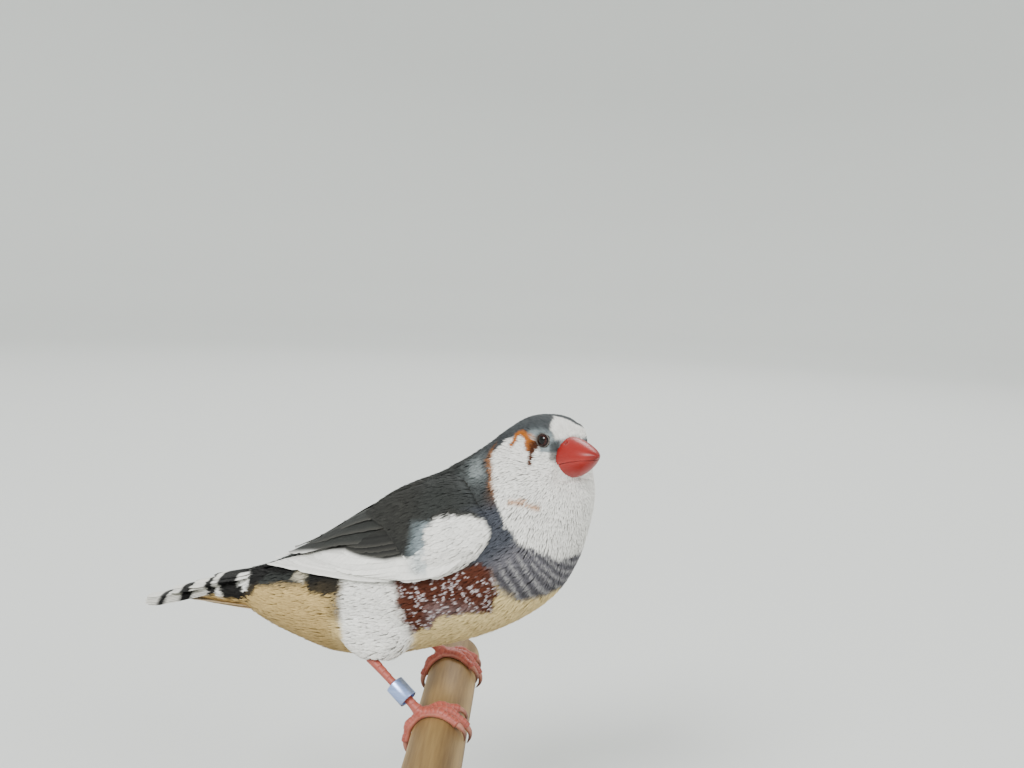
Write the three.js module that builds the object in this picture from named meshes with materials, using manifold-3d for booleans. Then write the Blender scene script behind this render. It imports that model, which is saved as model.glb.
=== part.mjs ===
// A life-size model of a domestic male zebra finch of a pied variety, gripping a short cut length of
// round perch that two short rods carry over a flat display base. Millimetres, +Z up, origin at the
// centre of the base's underside. The perch runs along Y and the bird faces +X.
import * as THREE from "three";
import { mergeVertices } from "three/addons/utils/BufferGeometryUtils.js";
import Module from "manifold-3d";

const wasm = await Module();
wasm.setup();

// Driving dimensions of the stand and the perch
const BASE_LENGTH = 92; // along Y, as the perch
const BASE_WIDTH = 78;
const BASE_THICKNESS = 6;
const BASE_CORNER_RADIUS = 9;
const ROD_RADIUS = 2;
const ROD_HEIGHT = 28; // from the base's top to the perch's underside
const ROD_SPACING = 58;
const PERCH_RADIUS = 6;
const PERCH_LENGTH = 82;
const GAP = 0.3; // the clearance that neighbouring pieces keep

// Where the bird sits: the ridge is the top line of the perch
const RIDGE_Z = BASE_THICKNESS + ROD_HEIGHT + 2 * PERCH_RADIUS;
const BIRD_Y = 8;
const BODY_TURN = 6; // degrees, towards the bird's right

// Driving dimensions of the bird, in its own frame: x forward, y to its left, z up from the ridge
const HEAD_X = 21.6; // the vertical axis that the head turns about
const HEAD_TURN = 46; // degrees, towards the bird's right
const EYE = { x: 25.3, y: 4.65, z: 58.5, radius: 2.3 };
const EYE_LID_RADIUS = 1.95;
const BILL_TIP = [37.5, 57];
const BILL_HALF_WIDTH = 4.3;
const TAIL_TIP = [-72.5, 14];
const TAIL_ROOT = [-47, 21.4];
const TAIL_FEATHER_WIDTH = 6;
const WING_SINK = 1.2; // how deep the folded wing lies in the flank
const VANE = 0.55; // thickness of a flight feather's blade
const FOOT_Y = 17.8; // where each tarsus meets its toes, along the perch
const ANKLE = { x: -13.3, y: 14, z: 8.6 };
const TARSUS_RADIUS = 1.05;
const TOE_RADIUS = 1.12;
const CLAW_LENGTH = 3.8;
const RING = { inner: 1.65, outer: 2.1, length: 4.6, share: 0.6 };

// The trunk from the tail's root to the crown: where each section meets the back line and the
// breast line, its half width, and how far it has turned with the head
const TRUNK = [
  { back: [-46.5, 24.3], front: [-46.5, 13.6], half: 5.2, turn: 0 },
  { back: [-40, 27.6], front: [-41, 10.9], half: 8, turn: 0 },
  { back: [-32, 31.4], front: [-33.4, 8.2], half: 11, turn: 0 },
  { back: [-24, 36.6], front: [-24.5, 5.8], half: 13.6, turn: 0 },
  { back: [-16, 41.6], front: [-13, 6.2], half: 15.3, turn: 0 },
  { back: [-9, 45.8], front: [-1.5, 9.2], half: 16.2, turn: 0 },
  { back: [-3, 49.4], front: [9, 12.8], half: 16.5, turn: 0 },
  { back: [2, 52.3], front: [18.4, 17.9], half: 16.2, turn: 0 },
  { back: [5.2, 54.5], front: [25.4, 24.2], half: 15.5, turn: 1 },
  { back: [7.4, 56.2], front: [29.4, 32], half: 14.6, turn: 5 },
  { back: [9.2, 57.8], front: [31.2, 39.6], half: 13.2, turn: 13 },
  { back: [10.4, 59.2], front: [31.8, 45], half: 11.8, turn: 23 },
  { back: [11.6, 60.2], front: [31.2, 48.7], half: 10.3, turn: 34 },
  { back: [12.9, 61.1], front: [30.3, 51.8], half: 9.1, turn: 42 },
  { back: [14.6, 62.1], front: [29.7, 54.9], half: 8.3, turn: 46 },
  { back: [17, 63], front: [28.9, 58.4], half: 7.2, turn: 46 },
  { back: [19.8, 63.5], front: [27, 61.4], half: 4.8, turn: 46 },
];
const CROWN = [23.6, 63.2];
const NECK_SHARES = [0.52, 0.7]; // the two cuts that part the torso, neck and head

const { degToRad, lerp, clamp } = THREE.MathUtils;

// Materials
const finish = (color, roughness, metalness = 0) =>
  new THREE.MeshStandardMaterial({ color, roughness, metalness });
const GREY_PLUMAGE = finish(0x4a4c4b, 0.85);
const WHITE_PLUMAGE = finish(0xe8e8e4, 0.85);
const TAIL_PLUMAGE = finish(0x2a2928, 0.8);
const RED_BILL = finish(0xc0281a, 0.35);
const EYE_DARK = finish(0x0d0908, 0.08);
const PINK_LEG = finish(0xd0655a, 0.5);
const CLAW_HORN = finish(0x8a6252, 0.4);
const RING_BLUE = finish(0x9db4dc, 0.3, 0.6);
const PERCH_WOOD = finish(0xa88d62, 0.7);
const BASE_WOOD = finish(0x6b4a30, 0.5);
const ROD_STEEL = finish(0xb8b8b8, 0.3, 1);

// Repeatable small variations from -1 to 1
let draw = 7;
function vary() {
  draw = (draw * 16807) % 2147483647;
  return (draw / 2147483647) * 2 - 1;
}

// Solids

// A closed three.js geometry as a solid that can be joined and cut.
function solid(geometry) {
  const bare = new THREE.BufferGeometry();
  bare.setAttribute("position", geometry.getAttribute("position"));
  if (geometry.index) bare.setIndex(geometry.index);
  const merged = mergeVertices(bare, 1e-4);
  return new wasm.Manifold(
    new wasm.Mesh({
      numProp: 3,
      vertProperties: merged.attributes.position.array,
      triVerts: new Uint32Array(merged.index.array),
    }),
  );
}

// A closed surface from points and triangles, with its faces turned outwards.
function closed(points, faces) {
  const geometry = new THREE.BufferGeometry();
  geometry.setAttribute(
    "position",
    new THREE.Float32BufferAttribute(points.flatMap((p) => [p.x, p.y, p.z]), 3),
  );
  geometry.setIndex(faces);
  const shape = solid(geometry);
  if (shape.volume() > 0) return shape;
  for (let i = 0; i < faces.length; i += 3) [faces[i], faces[i + 1]] = [faces[i + 1], faces[i]];
  geometry.setIndex(faces);
  return solid(geometry);
}

// A closed surface through rings of points, each ring with the same count, closed at both ends
// by a fan round that ring's middle or round a given pole.
function loft(rings, startPole, endPole) {
  const count = rings[0].length;
  const middle = (ring) =>
    ring.reduce((sum, p) => sum.add(p), new THREE.Vector3()).divideScalar(count);
  const points = [...rings.flat(), startPole ?? middle(rings[0]), endPole ?? middle(rings.at(-1))];
  const start = rings.length * count;
  const last = start - count;
  const faces = [];
  for (let j = 0; j < count; j++) {
    const next = (j + 1) % count;
    for (let i = 0; i < last; i += count) {
      faces.push(i + j, i + next, i + count + next, i + j, i + count + next, i + count + j);
    }
    faces.push(start, next, j, start + 1, last + j, last + next);
  }
  return closed(points, faces);
}

// A thin blade: place(u, v, side) gives its corners, with u along it, v from -1 to 1 across it
// and side 1 on its upper face and 0 on its lower one. Both faces are split alike.
function blade(rows, columns, place) {
  const points = [];
  const across = columns + 1;
  for (const side of [1, 0]) {
    for (let i = 0; i <= rows; i++) {
      for (let c = 0; c <= columns; c++) {
        points.push(place(i / rows, (2 * c) / columns - 1, side));
      }
    }
  }
  const under = (rows + 1) * across;
  const faces = [];
  for (let i = 0; i < rows; i++) {
    for (let c = 0; c < columns; c++) {
      const a = i * across + c;
      const [b, d, e] = [a + 1, a + across, a + across + 1];
      faces.push(a, b, e, a, e, d);
      faces.push(under + a, under + e, under + b, under + a, under + d, under + e);
    }
  }
  const wall = (a, b) => faces.push(a, under + b, b, a, under + a, under + b);
  for (let c = 0; c < columns; c++) {
    wall(c, c + 1);
    wall(rows * across + c + 1, rows * across + c);
  }
  for (let i = 0; i < rows; i++) {
    wall((i + 1) * across, i * across);
    wall(i * across + columns, (i + 1) * across + columns);
  }
  return closed(points, faces);
}

// A round rod along a curve, with its radius given by its share along it.
function rod(curve, radiusAt, rows, columns) {
  const frames = curve.computeFrenetFrames(rows, false);
  const rings = [];
  for (let i = 0; i <= rows; i++) {
    const centre = curve.getPointAt(i / rows);
    const radius = radiusAt(i / rows);
    rings.push(
      Array.from({ length: columns }, (_, j) => {
        const turn = (2 * Math.PI * j) / columns;
        return centre
          .clone()
          .addScaledVector(frames.normals[i], radius * Math.cos(turn))
          .addScaledVector(frames.binormals[i], radius * Math.sin(turn));
      }),
    );
  }
  return loft(rings);
}

function ball(x, y, z, radius, columns = 16, rows = 10) {
  return solid(new THREE.SphereGeometry(radius, columns, rows).translate(x, y, z));
}

const union = (shapes) => shapes.reduce((sum, shape) => sum.add(shape));

// The largest closed surface of a solid, back as a three.js geometry.
function geometryOf(shape) {
  const pieces = shape.simplify(0.004).decompose().sort((a, b) => b.volume() - a.volume());
  const { numProp, numVert, vertProperties, triVerts } = pieces[0].getMesh();
  const points = new Float32Array(numVert * 3);
  for (let i = 0; i < numVert; i++) {
    points.set(vertProperties.subarray(i * numProp, i * numProp + 3), i * 3);
  }
  const geometry = new THREE.BufferGeometry();
  geometry.setAttribute("position", new THREE.BufferAttribute(points, 3));
  geometry.setIndex(new THREE.BufferAttribute(new Uint32Array(triVerts), 1));
  geometry.computeVertexNormals();
  return geometry;
}

// A smooth curve through plain [x, z] points, read by its share from 0 to 1.
function profile(points) {
  const curve = new THREE.CatmullRomCurve3(
    points.map(([x, z]) => new THREE.Vector3(x, 0, z)),
    false,
    "catmullrom",
    0.5,
  );
  return (share) => curve.getPoint(clamp(share, 0, 1));
}

// A value read off a list of [position, value] pairs, straight between them.
function along(pairs, position) {
  const next = pairs.findIndex(([p]) => p > position);
  if (next === 0) return pairs[0][1];
  if (next < 0) return pairs.at(-1)[1];
  const [[p0, v0], [p1, v1]] = [pairs[next - 1], pairs[next]];
  return lerp(v0, v1, (position - p0) / (p1 - p0));
}

// Trunk

const backLine = profile([...TRUNK.map((s) => s.back), CROWN]);
const frontLine = profile([...TRUNK.map((s) => s.front), CROWN]);
const girth = profile([...TRUNK.map((s) => [s.half, s.turn]), [0, HEAD_TURN]]);

// Turns a point about the head's own vertical axis.
function turnHead(point, degrees = HEAD_TURN) {
  const angle = -degToRad(degrees);
  const x = point.x - HEAD_X;
  return point.set(
    HEAD_X + x * Math.cos(angle) - point.y * Math.sin(angle),
    x * Math.sin(angle) + point.y * Math.cos(angle),
    point.z,
  );
}

// A point of the smooth trunk: share runs from the tail's root to the crown, and round is the
// angle in degrees from the back line, positive on the bird's left.
function trunkPoint(share, round) {
  const back = backLine(share);
  const front = frontLine(share);
  const { x: half, z: turn } = girth(share);
  const angle = degToRad(round);
  const full = lerp(1, 0.88, clamp((share - 0.7) * 5, 0, 1));
  const bend = (value) => Math.sign(value) * Math.abs(value) ** full;
  const point = back.clone().lerp(front, 0.5 - 0.5 * bend(Math.cos(angle)));
  point.y = half * bend(Math.sin(angle));
  return turnHead(point, turn);
}

// The same point moved out along the surface's own normal.
function trunkSurface(share, round, proud) {
  const point = trunkPoint(share, round);
  if (!proud) return point;
  const s = clamp(share, 0.01, 0.97);
  const alongIt = trunkPoint(s + 0.005, round).sub(trunkPoint(s - 0.005, round));
  const roundIt = trunkPoint(s, round + 2).sub(trunkPoint(s, round - 2));
  return point.addScaledVector(alongIt.cross(roundIt).normalize(), proud);
}

// The share at which the trunk's surface reaches a place x along the bird, at one angle round it.
function shareAt(x, round) {
  let [low, high] = [0, 0.66];
  for (let i = 0; i < 22; i++) {
    const middle = (low + high) / 2;
    if (trunkPoint(middle, round).x < x) low = middle;
    else high = middle;
  }
  return (low + high) / 2;
}

// The angle from the back line at which a section's side view passes a height z at a place x.
function roundAt(x, z) {
  let [low, high] = [0, 180];
  for (let i = 0; i < 16; i++) {
    const middle = (low + high) / 2;
    if (trunkPoint(shareAt(x, middle), middle).z > z) low = middle;
    else high = middle;
  }
  return (low + high) / 2;
}

// Where the folded wing covers the body: the angles of its upper and lower edge along the bird
const WING_TOP = [[-44, 0], [-30, -4], [-20, -4], [-10, 8], [4, 34], [12, 60]];
const WING_LOW = [[-44, 34], [-38, 46], [-34, 55], [-28, 66], [-20, 76], [-10, 87], [-2, 93], [8, 95], [12, 88]];

// How fully the wing's bed is sunk at a place, from 0 outside to 1 inside: margin widens it and
// blur softens its edge, both in degrees.
function bed(x, round, margin, blur) {
  const angle = Math.abs(round);
  const soft = (value, width) => THREE.MathUtils.smoothstep(value, -width, width);
  return (
    soft(x + 43 + margin * 0.3, blur * 0.35) *
    soft(11 + margin * 0.3 - x, blur * 0.35) *
    soft(angle - along(WING_TOP, x) + margin, blur) *
    soft(along(WING_LOW, x) + margin - angle, blur)
  );
}

function trunkRings(from, to, rows, columns, sunk) {
  return Array.from({ length: rows + 1 }, (_, i) => {
    const share = lerp(from, to, i / rows);
    return Array.from({ length: columns }, (_, j) => {
      const round = ((360 * j) / columns + 180) % 360 - 180;
      const { x } = trunkPoint(share, round);
      const proud = sunk && share < 0.6 ? -WING_SINK * bed(x, round, 9, 9) : 0;
      return trunkSurface(share, round, proud);
    });
  });
}

// A large block on one side of the trunk's section at a share, set off from it by half the gap.
function sideOf(share, ahead) {
  const [back, front, left] = [0, 180, 90].map((round) => trunkPoint(share, round));
  const normal = front.clone().sub(back).cross(left.clone().sub(back)).normalize();
  if (normal.x * (front.z - back.z) > 0 === ahead) normal.negate();
  const size = 200;
  const block = new THREE.BoxGeometry(size, size, size);
  block.applyQuaternion(
    new THREE.Quaternion().setFromUnitVectors(new THREE.Vector3(0, 0, 1), normal),
  );
  const centre = back.lerp(front, 0.5).addScaledVector(normal, size / 2 + GAP / 2);
  return solid(block.translate(centre.x, centre.y, centre.z));
}

const crownPole = turnHead(new THREE.Vector3(CROWN[0], 0, CROWN[1]));
const body = loft(trunkRings(0, 0.965, 46, 28, true), null, crownPole);

// Thighs

function thigh(side) {
  const stations = [
    { at: [-13.4, 7, 27.5], long: 7.4, wide: 4.8 },
    { at: [-13.9, 8, 22.8], long: 9.8, wide: 5.8 },
    { at: [-14.3, 9.3, 17.6], long: 10.4, wide: 6.1 },
    { at: [-14.5, 10.7, 12.8], long: 9, wide: 5.5 },
    { at: [-14.4, 12, 10], long: 6, wide: 4.2 },
    { at: [-13.8, 13.4, 8.9], long: 2.7, wide: 2.4 },
  ];
  const columns = 14;
  const rings = stations.map(({ at: [x, y, z], long, wide }) =>
    Array.from({ length: columns }, (_, j) => {
      const turn = (2 * Math.PI * j) / columns;
      return new THREE.Vector3(
        x + long * Math.cos(turn),
        side * (y + wide * Math.sin(turn)),
        z - 0.12 * long * Math.cos(turn),
      );
    }),
  );
  return loft(rings);
}

// Feathers that lie on the body: from and to are { x, round } places, u runs along the shaft.
function bodyPlace(side, from, to, bow, sheet) {
  const at = (u) => ({
    x: lerp(from.x, to.x, u),
    round: lerp(from.round, to.round, u) + bow * Math.sin(Math.PI * u),
  });
  const surface = (x, round, proud = 0) =>
    trunkSurface(shareAt(x, round * side), round * side, proud);
  return (u, across, height) => {
    const { x, round } = at(u);
    const [a, b] = [at(Math.max(u - 0.02, 0)), at(Math.min(u + 0.02, 1))];
    const perX = surface(x + 0.5, round).sub(surface(x - 0.5, round));
    const perRound = surface(x, round + 1).sub(surface(x, round - 1)).multiplyScalar(0.5);
    const shaft = surface(b.x, b.round).sub(surface(a.x, a.round));
    const over = shaft.cross(perX.clone().cross(perRound)).normalize().multiplyScalar(across);
    if (over.dot(perRound) * across < 0) over.negate();
    const [xx, xr, rr] = [perX.dot(perX), perX.dot(perRound), perRound.dot(perRound)];
    const [ox, or] = [over.dot(perX), over.dot(perRound)];
    const det = xx * rr - xr * xr;
    const there = {
      x: x + (ox * rr - or * xr) / det,
      round: Math.max(round + (or * xx - ox * xr) / det, 3),
    };
    return surface(there.x, there.round, sheet(there.x, there.round) + height);
  };
}

// The floor of the folded wing, just above the sunk bed.
const wingFloor = (x, round) => -WING_SINK * bed(x, round, -2, 5) + GAP + 0.12;

// A leaf-shaped half width: narrow at the root, full for most of the length, round at the tip.
function leaf(u, rootShare, point) {
  const root = lerp(rootShare, 1, Math.sin((Math.PI / 2) * Math.min(u / 0.35, 1)));
  const tip = Math.sqrt(Math.max(1 - Math.max((u - 0.72) / 0.28, 0) ** point, 0.02));
  return root * tip;
}

function wingVane(side, { from, to, bow = 0, half, lift = 0, tilt = 0.5, rows = 5, root = 0.5 }) {
  const place = bodyPlace(side, from, to, bow, wingFloor);
  return blade(rows, 2, (u, v, upper) => {
    const height = lift * Math.sin(Math.PI * (0.17 + 0.7 * u));
    const slope = tilt * (0.5 + 0.5 * v);
    return place(u, v * half * leaf(u, root, 2.2), height + slope + VANE * upper);
  });
}

function wing(side) {
  const shapes = [];
  // The shoulder's smooth pad of small coverts
  const pad = bodyPlace(side, { x: 11.4, round: 80 }, { x: -8, round: 58 }, 0, wingFloor);
  shapes.push(
    blade(8, 5, (u, v, upper) => {
      const half = 2.6 + 6.2 * Math.sin((Math.PI / 2) * Math.min(u / 0.6, 1));
      const bulge = (1 - v * v) ** 0.5 * Math.sin(Math.PI * clamp(0.12 + 0.8 * u, 0, 1)) ** 0.6;
      return pad(u, v * half, upper * (0.5 + 1.9 * bulge));
    }),
  );
  // Primaries, the outermost first
  for (let i = 0; i < 7; i++) {
    shapes.push(
      wingVane(side, {
        from: { x: 3 - 1.4 * i, round: 84 - 2.6 * i },
        to: { x: -42 + 2.3 * i + 0.3 * vary(), round: 24 + 3 * i },
        bow: 16 - 1.5 * i,
        half: 2.5,
        lift: 0.12 * i,
        tilt: 0.6,
        rows: 5,
      }),
    );
  }
  // Secondaries
  for (let i = 0; i < 4; i++) {
    shapes.push(
      wingVane(side, {
        from: { x: -1 - i, round: 74 - 6 * i },
        to: { x: -22.5 + 0.5 * i + 0.3 * vary(), round: 59 - 6 * i },
        bow: 3,
        half: 2.7,
        lift: 0.75 + 0.1 * i,
        tilt: 0.6,
      }),
    );
  }
  // Tertials, the innermost and shortest on top
  for (let i = 0; i < 3; i++) {
    shapes.push(
      wingVane(side, {
        from: { x: -5 + 1.5 * i, round: 52 - 10 * i },
        to: { x: -36.5 + 5.2 * i + 0.4 * vary(), round: 13 - 1.5 * i },
        bow: 4 - 2 * i,
        half: 3.7,
        lift: 0.7 + 0.3 * i,
        tilt: 0.55,
        root: 0.3,
      }),
    );
  }
  // Scapulars over the roots of the tertials
  for (let i = 0; i < 2; i++) {
    shapes.push(
      wingVane(side, {
        from: { x: 7.5 - 2.5 * i, round: 66 - 12 * i },
        to: { x: -13 + 2 * i + 0.4 * vary(), round: 42 - 13 * i },
        half: 4,
        lift: 0.9,
        tilt: 0.3,
        rows: 4,
        root: 0.4,
      }),
    );
  }
  // Greater coverts over the roots of the secondaries
  for (let i = 0; i < 5; i++) {
    shapes.push(
      wingVane(side, {
        from: { x: 2 - 0.8 * i, round: 84.5 - 9.4 * i },
        to: { x: -10.4 - 0.7 * i + 0.4 * vary(), round: 76.5 - 9.4 * i },
        half: 2.9,
        lift: 1.3,
        tilt: 0.45,
        rows: 3,
      }),
    );
  }
  // Alula and primary coverts along the lower edge
  for (let i = 0; i < 3; i++) {
    shapes.push(
      wingVane(side, {
        from: { x: 6 - i, round: 84 - 2 * i },
        to: { x: -6.5 - 3.4 * i, round: 82 - 4.5 * i },
        half: 1.9,
        lift: 0.9 - 0.12 * i,
        tilt: 0.4,
        rows: 3,
      }),
    );
  }
  return union(shapes);
}

// Tail

const TAIL_STATIONS = [
  { x: -46.8, top: 24.1, low: 13.8, half: 5.1 },
  { x: -52, top: 21.6, low: 14.3, half: 5 },
  { x: -58, top: 19.2, low: 14.9, half: 4.4 },
  { x: -63, top: 17.4, low: 15.4, half: 3 },
];

// A point of the tail's own sheet: u from root to tip, across in mm, height above the sheet.
function tailPlace(u, across, height) {
  const x = lerp(TAIL_ROOT[0], TAIL_TIP[0], u);
  const z = lerp(TAIL_ROOT[1], TAIL_TIP[1], u) - 0.5 * Math.sin(Math.PI * u);
  return new THREE.Vector3(x + height * 0.3, across, z + height * 0.95 - 0.012 * across * across);
}

function tail() {
  const columns = 12;
  const rings = TAIL_STATIONS.map(({ x, top, low, half }) =>
    Array.from({ length: columns }, (_, j) => {
      const turn = (2 * Math.PI * j) / columns;
      const middle = (top + low) / 2;
      return new THREE.Vector3(
        x - 0.12 * (Math.cos(turn) - 1) * 0,
        half * Math.sin(turn),
        middle + ((top - low) / 2) * Math.cos(turn),
      );
    }),
  );
  const shapes = [loft(rings)];
  // Twelve tail feathers, the outermost lowest and a little shorter
  for (const side of [-1, 1]) {
    for (let i = 5; i >= 0; i--) {
      const spread = side * (0.35 + 0.52 * i);
      const reach = 1 - 0.006 * i - 0.002 * i * i + 0.006 * vary();
      const tilt = side * 0.5;
      shapes.push(
        blade(4, 2, (u, v, upper) => {
          const w = (TAIL_FEATHER_WIDTH / 2) * leaf(u, 0.5, 3.6);
          const along = 0.12 + (reach - 0.12) * u;
          const centre = spread * (0.45 + 0.75 * u);
          const height = 0.28 * (2.5 - i) + tilt * v * -0.5 + VANE * (upper - 0.5);
          return tailPlace(along, centre + v * w, height);
        }),
      );
    }
  }
  // Upper tail coverts in two short tiers, and the longer ones below
  const covert = (x0, x1, y, z0, z1, half, drop) =>
    blade(3, 2, (u, v, upper) => {
      const across = y * (0.8 + 0.2 * u) + v * half * leaf(u, 0.6, 2.2);
      return new THREE.Vector3(
        lerp(x0, x1, u),
        across,
        lerp(z0, z1, u) - 0.05 * across * across * Math.sign(drop) + 0.7 * (upper - 0.5),
      );
    });
  for (const y of [-2.6, 2.6, 0]) {
    shapes.push(covert(-49, -63.5, y, 21.6, 17.9, 2.2, 1));
  }
  for (const y of [-3.4, -1.2, 1.2, 3.4]) {
    shapes.push(covert(-47.6, -57.5, y, 23.3, 20.3, 2, 1));
  }
  for (const y of [-2.4, 2.4, 0]) {
    shapes.push(covert(-48.6, -63, y, 14.7, 14.9, 2.3, -1));
  }
  return union(shapes);
}

// Head: in its own frame before the turn, x forward

const headVector = (x, y, z) => turnHead(new THREE.Vector3(x, y, z));

// The bill's outline: where the culmen and the lower edge lie along it, and its half width
const BILL_STATIONS = [
  { x: 27.8, top: 59.5, low: 50.9, half: BILL_HALF_WIDTH - 0.2 },
  { x: 29, top: 59.7, low: 50.6, half: BILL_HALF_WIDTH },
  { x: 30.6, top: 59.5, low: 50.9, half: 4.15 },
  { x: 32.6, top: 59.1, low: 51.8, half: 3.7 },
  { x: 34.4, top: 58.5, low: 53.2, half: 3 },
  { x: 36, top: 57.9, low: 54.7, half: 2 },
  { x: 37.1, top: 57.2, low: 56, half: 0.9 },
];
const MOUTH = [[24, 52.6], [28.6, 53.6], [31.5, 54.6], [34.5, 55.4], [38.6, 56]];

function billForm(grow) {
  const columns = 16;
  const rings = BILL_STATIONS.map(({ x, top, low, half }, i) =>
    Array.from({ length: columns }, (_, j) => {
      const turn = (2 * Math.PI * j) / columns;
      const c = Math.cos(turn);
      const middle = (top + low) / 2 - 0.4;
      const rise = c > 0 ? top - middle : middle - low;
      const ridge = c > 0 ? 1 + 0.12 * c ** 6 : 1;
      return headVector(
        i ? x : x - grow,
        (half + grow) * Math.sign(Math.sin(turn)) * Math.abs(Math.sin(turn)) ** ridge,
        middle + (rise + grow) * c,
      );
    }),
  );
  if (grow) return loft(rings.slice(0, 4));
  return loft(rings, null, headVector(BILL_TIP[0], 0, BILL_TIP[1] - 0.4));
}

function mouthSlit(thickness) {
  return blade(4, 1, (u, v, upper) => {
    const x = lerp(MOUTH[0][0], MOUTH.at(-1)[0], u);
    return headVector(x, 8 * v, along(MOUTH, x) + thickness * (upper - 0.5));
  });
}

function eyeball(side) {
  const { x, y, z, radius } = EYE;
  const centre = headVector(x, side * y, z);
  return { centre, radius };
}

function lid(side) {
  const { centre } = eyeball(side);
  const outward = headVector(EYE.x + 3.4, side * 12, EYE.z + 1.2).sub(headVector(EYE.x, 0, EYE.z));
  outward.normalize();
  const ring = new THREE.TorusGeometry(EYE_LID_RADIUS, 0.4, 5, 14);
  ring.applyQuaternion(
    new THREE.Quaternion().setFromUnitVectors(new THREE.Vector3(0, 0, 1), outward),
  );
  const at = centre.addScaledVector(outward, 1.45);
  return solid(ring.translate(at.x, at.y, at.z));
}

// Legs

const perchAxisZ = -PERCH_RADIUS;

// A place on the perch: degrees from its top towards +x, y along it, and height off its surface.
// The bird's frame is turned against the perch, so the place is turned back into that frame.
function onPerch(degrees, y, height) {
  const angle = degToRad(degrees);
  const reach = PERCH_RADIUS + height;
  const point = new THREE.Vector3(
    reach * Math.sin(angle),
    y,
    perchAxisZ + reach * Math.cos(angle),
  );
  return point.applyAxisAngle(new THREE.Vector3(0, 0, 1), degToRad(BODY_TURN));
}

// The four toes: where each ends on the perch and how far it spreads along it
const TOES = [
  { end: 34, spread: 3.9 },
  { end: 60, spread: 0.4 },
  { end: 38, spread: -3.5 },
  { end: -94, spread: 0.6 },
];
// Where each tarsus meets its toes, in degrees round the perch: the left foot stands further forward
const footAngle = (side) => (side > 0 ? -20 : -33);

function toeCurve(side, { end, spread }, from, to, height) {
  const points = [];
  const start = footAngle(side);
  const stop = end + start + 33;
  const y0 = side * FOOT_Y;
  for (let i = 0; i <= 6; i++) {
    const u = lerp(from, to, i / 6);
    points.push(
      onPerch(lerp(start, stop, u), y0 - side * spread * Math.min(u, 1.15), height(u)),
    );
  }
  return new THREE.CatmullRomCurve3(points);
}

function leg(side) {
  const foot = onPerch(footAngle(side), side * FOOT_Y, GAP + 1.35);
  const ankle = new THREE.Vector3(ANKLE.x, side * ANKLE.y, ANKLE.z);
  const shapes = [ball(foot.x, foot.y, foot.z, 1.3, 12, 8)];
  const tarsus = new THREE.LineCurve3(ankle, foot);
  shapes.push(rod(tarsus, (u) => TARSUS_RADIUS * (1.12 - 0.25 * Math.sin(Math.PI * u)), 5, 10));
  // Scutes down the front of the tarsus
  const down = foot.clone().sub(ankle).normalize();
  const across = new THREE.Vector3(0, 1, 0);
  const front = across.clone().cross(down).normalize();
  if (front.x < 0) front.negate();
  for (let i = 0; i < 6; i++) {
    const u = 0.12 + 0.145 * i;
    const middle = ankle.clone().lerp(foot, u);
    shapes.push(
      blade(1, 2, (along, v, upper) => {
        const radius = TARSUS_RADIUS * (1.12 - 0.25 * Math.sin(Math.PI * u));
        const turn = v * 1.15;
        const reach = upper ? radius + 0.14 - 0.12 * along : radius * 0.6;
        return middle
          .clone()
          .addScaledVector(down, (along - 0.5) * 1.7)
          .addScaledVector(front, reach * Math.cos(turn))
          .addScaledVector(across, reach * Math.sin(turn));
      }),
    );
  }
  // Toes with a swelling at each joint
  for (const toe of TOES) {
    const pads = (u) => TOE_RADIUS * (1.08 - 0.22 * u + 0.1 * Math.cos(u * 4 * Math.PI));
    const curve = toeCurve(side, toe, 0, 1, (u) => GAP + 0.05 + pads(u));
    shapes.push(rod(curve, pads, 6, 7));
  }
  return union(shapes);
}

function claw(side, toe) {
  const length = toe.end < 0 ? CLAW_LENGTH * 1.25 : CLAW_LENGTH;
  const span = Math.abs(toe.end + 33);
  const perDegree = degToRad(1) * (PERCH_RADIUS + 1);
  const from = 1 + (GAP * 1.15) / (perDegree * span);
  const to = from + length / (perDegree * span);
  const radius = (u) => lerp(0.62, 0.12, u ** 0.9);
  const curve = toeCurve(side, toe, from, to, (u) => {
    const share = (u - from) / (to - from);
    return GAP + 0.05 + TOE_RADIUS * 0.9 + 0.35 * Math.sin(Math.PI * share) - 0.25 * share;
  });
  return rod(curve, radius, 5, 6);
}

function legRing() {
  const { inner, outer, length, share } = RING;
  const profilePoints = [
    [inner, -length / 2],
    [outer - 0.12, -length / 2],
    [outer, -length / 2 + 0.12],
    [outer, length / 2 - 0.12],
    [outer - 0.12, length / 2],
    [inner, length / 2],
    [inner, -length / 2],
  ].map(([r, h]) => new THREE.Vector2(r, h));
  const foot = onPerch(footAngle(-1), -FOOT_Y, GAP + 1.35);
  const ankle = new THREE.Vector3(ANKLE.x, -ANKLE.y, ANKLE.z);
  const at = ankle.clone().lerp(foot, share);
  const down = foot.sub(ankle).normalize();
  const ring = new THREE.LatheGeometry(profilePoints, 20);
  ring.applyQuaternion(new THREE.Quaternion().setFromUnitVectors(new THREE.Vector3(0, 1, 0), down));
  return solid(ring.translate(at.x, at.y, at.z));
}

// Assembly

const model = new THREE.Group();
const bird = new THREE.Group();
bird.position.set(0, BIRD_Y, RIDGE_Z);
bird.rotation.z = -degToRad(BODY_TURN);
model.add(bird);

function addPiece(group, name, shape, material) {
  const mesh = new THREE.Mesh(geometryOf(shape), material);
  mesh.name = name;
  group.add(mesh);
  return mesh;
}

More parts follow.
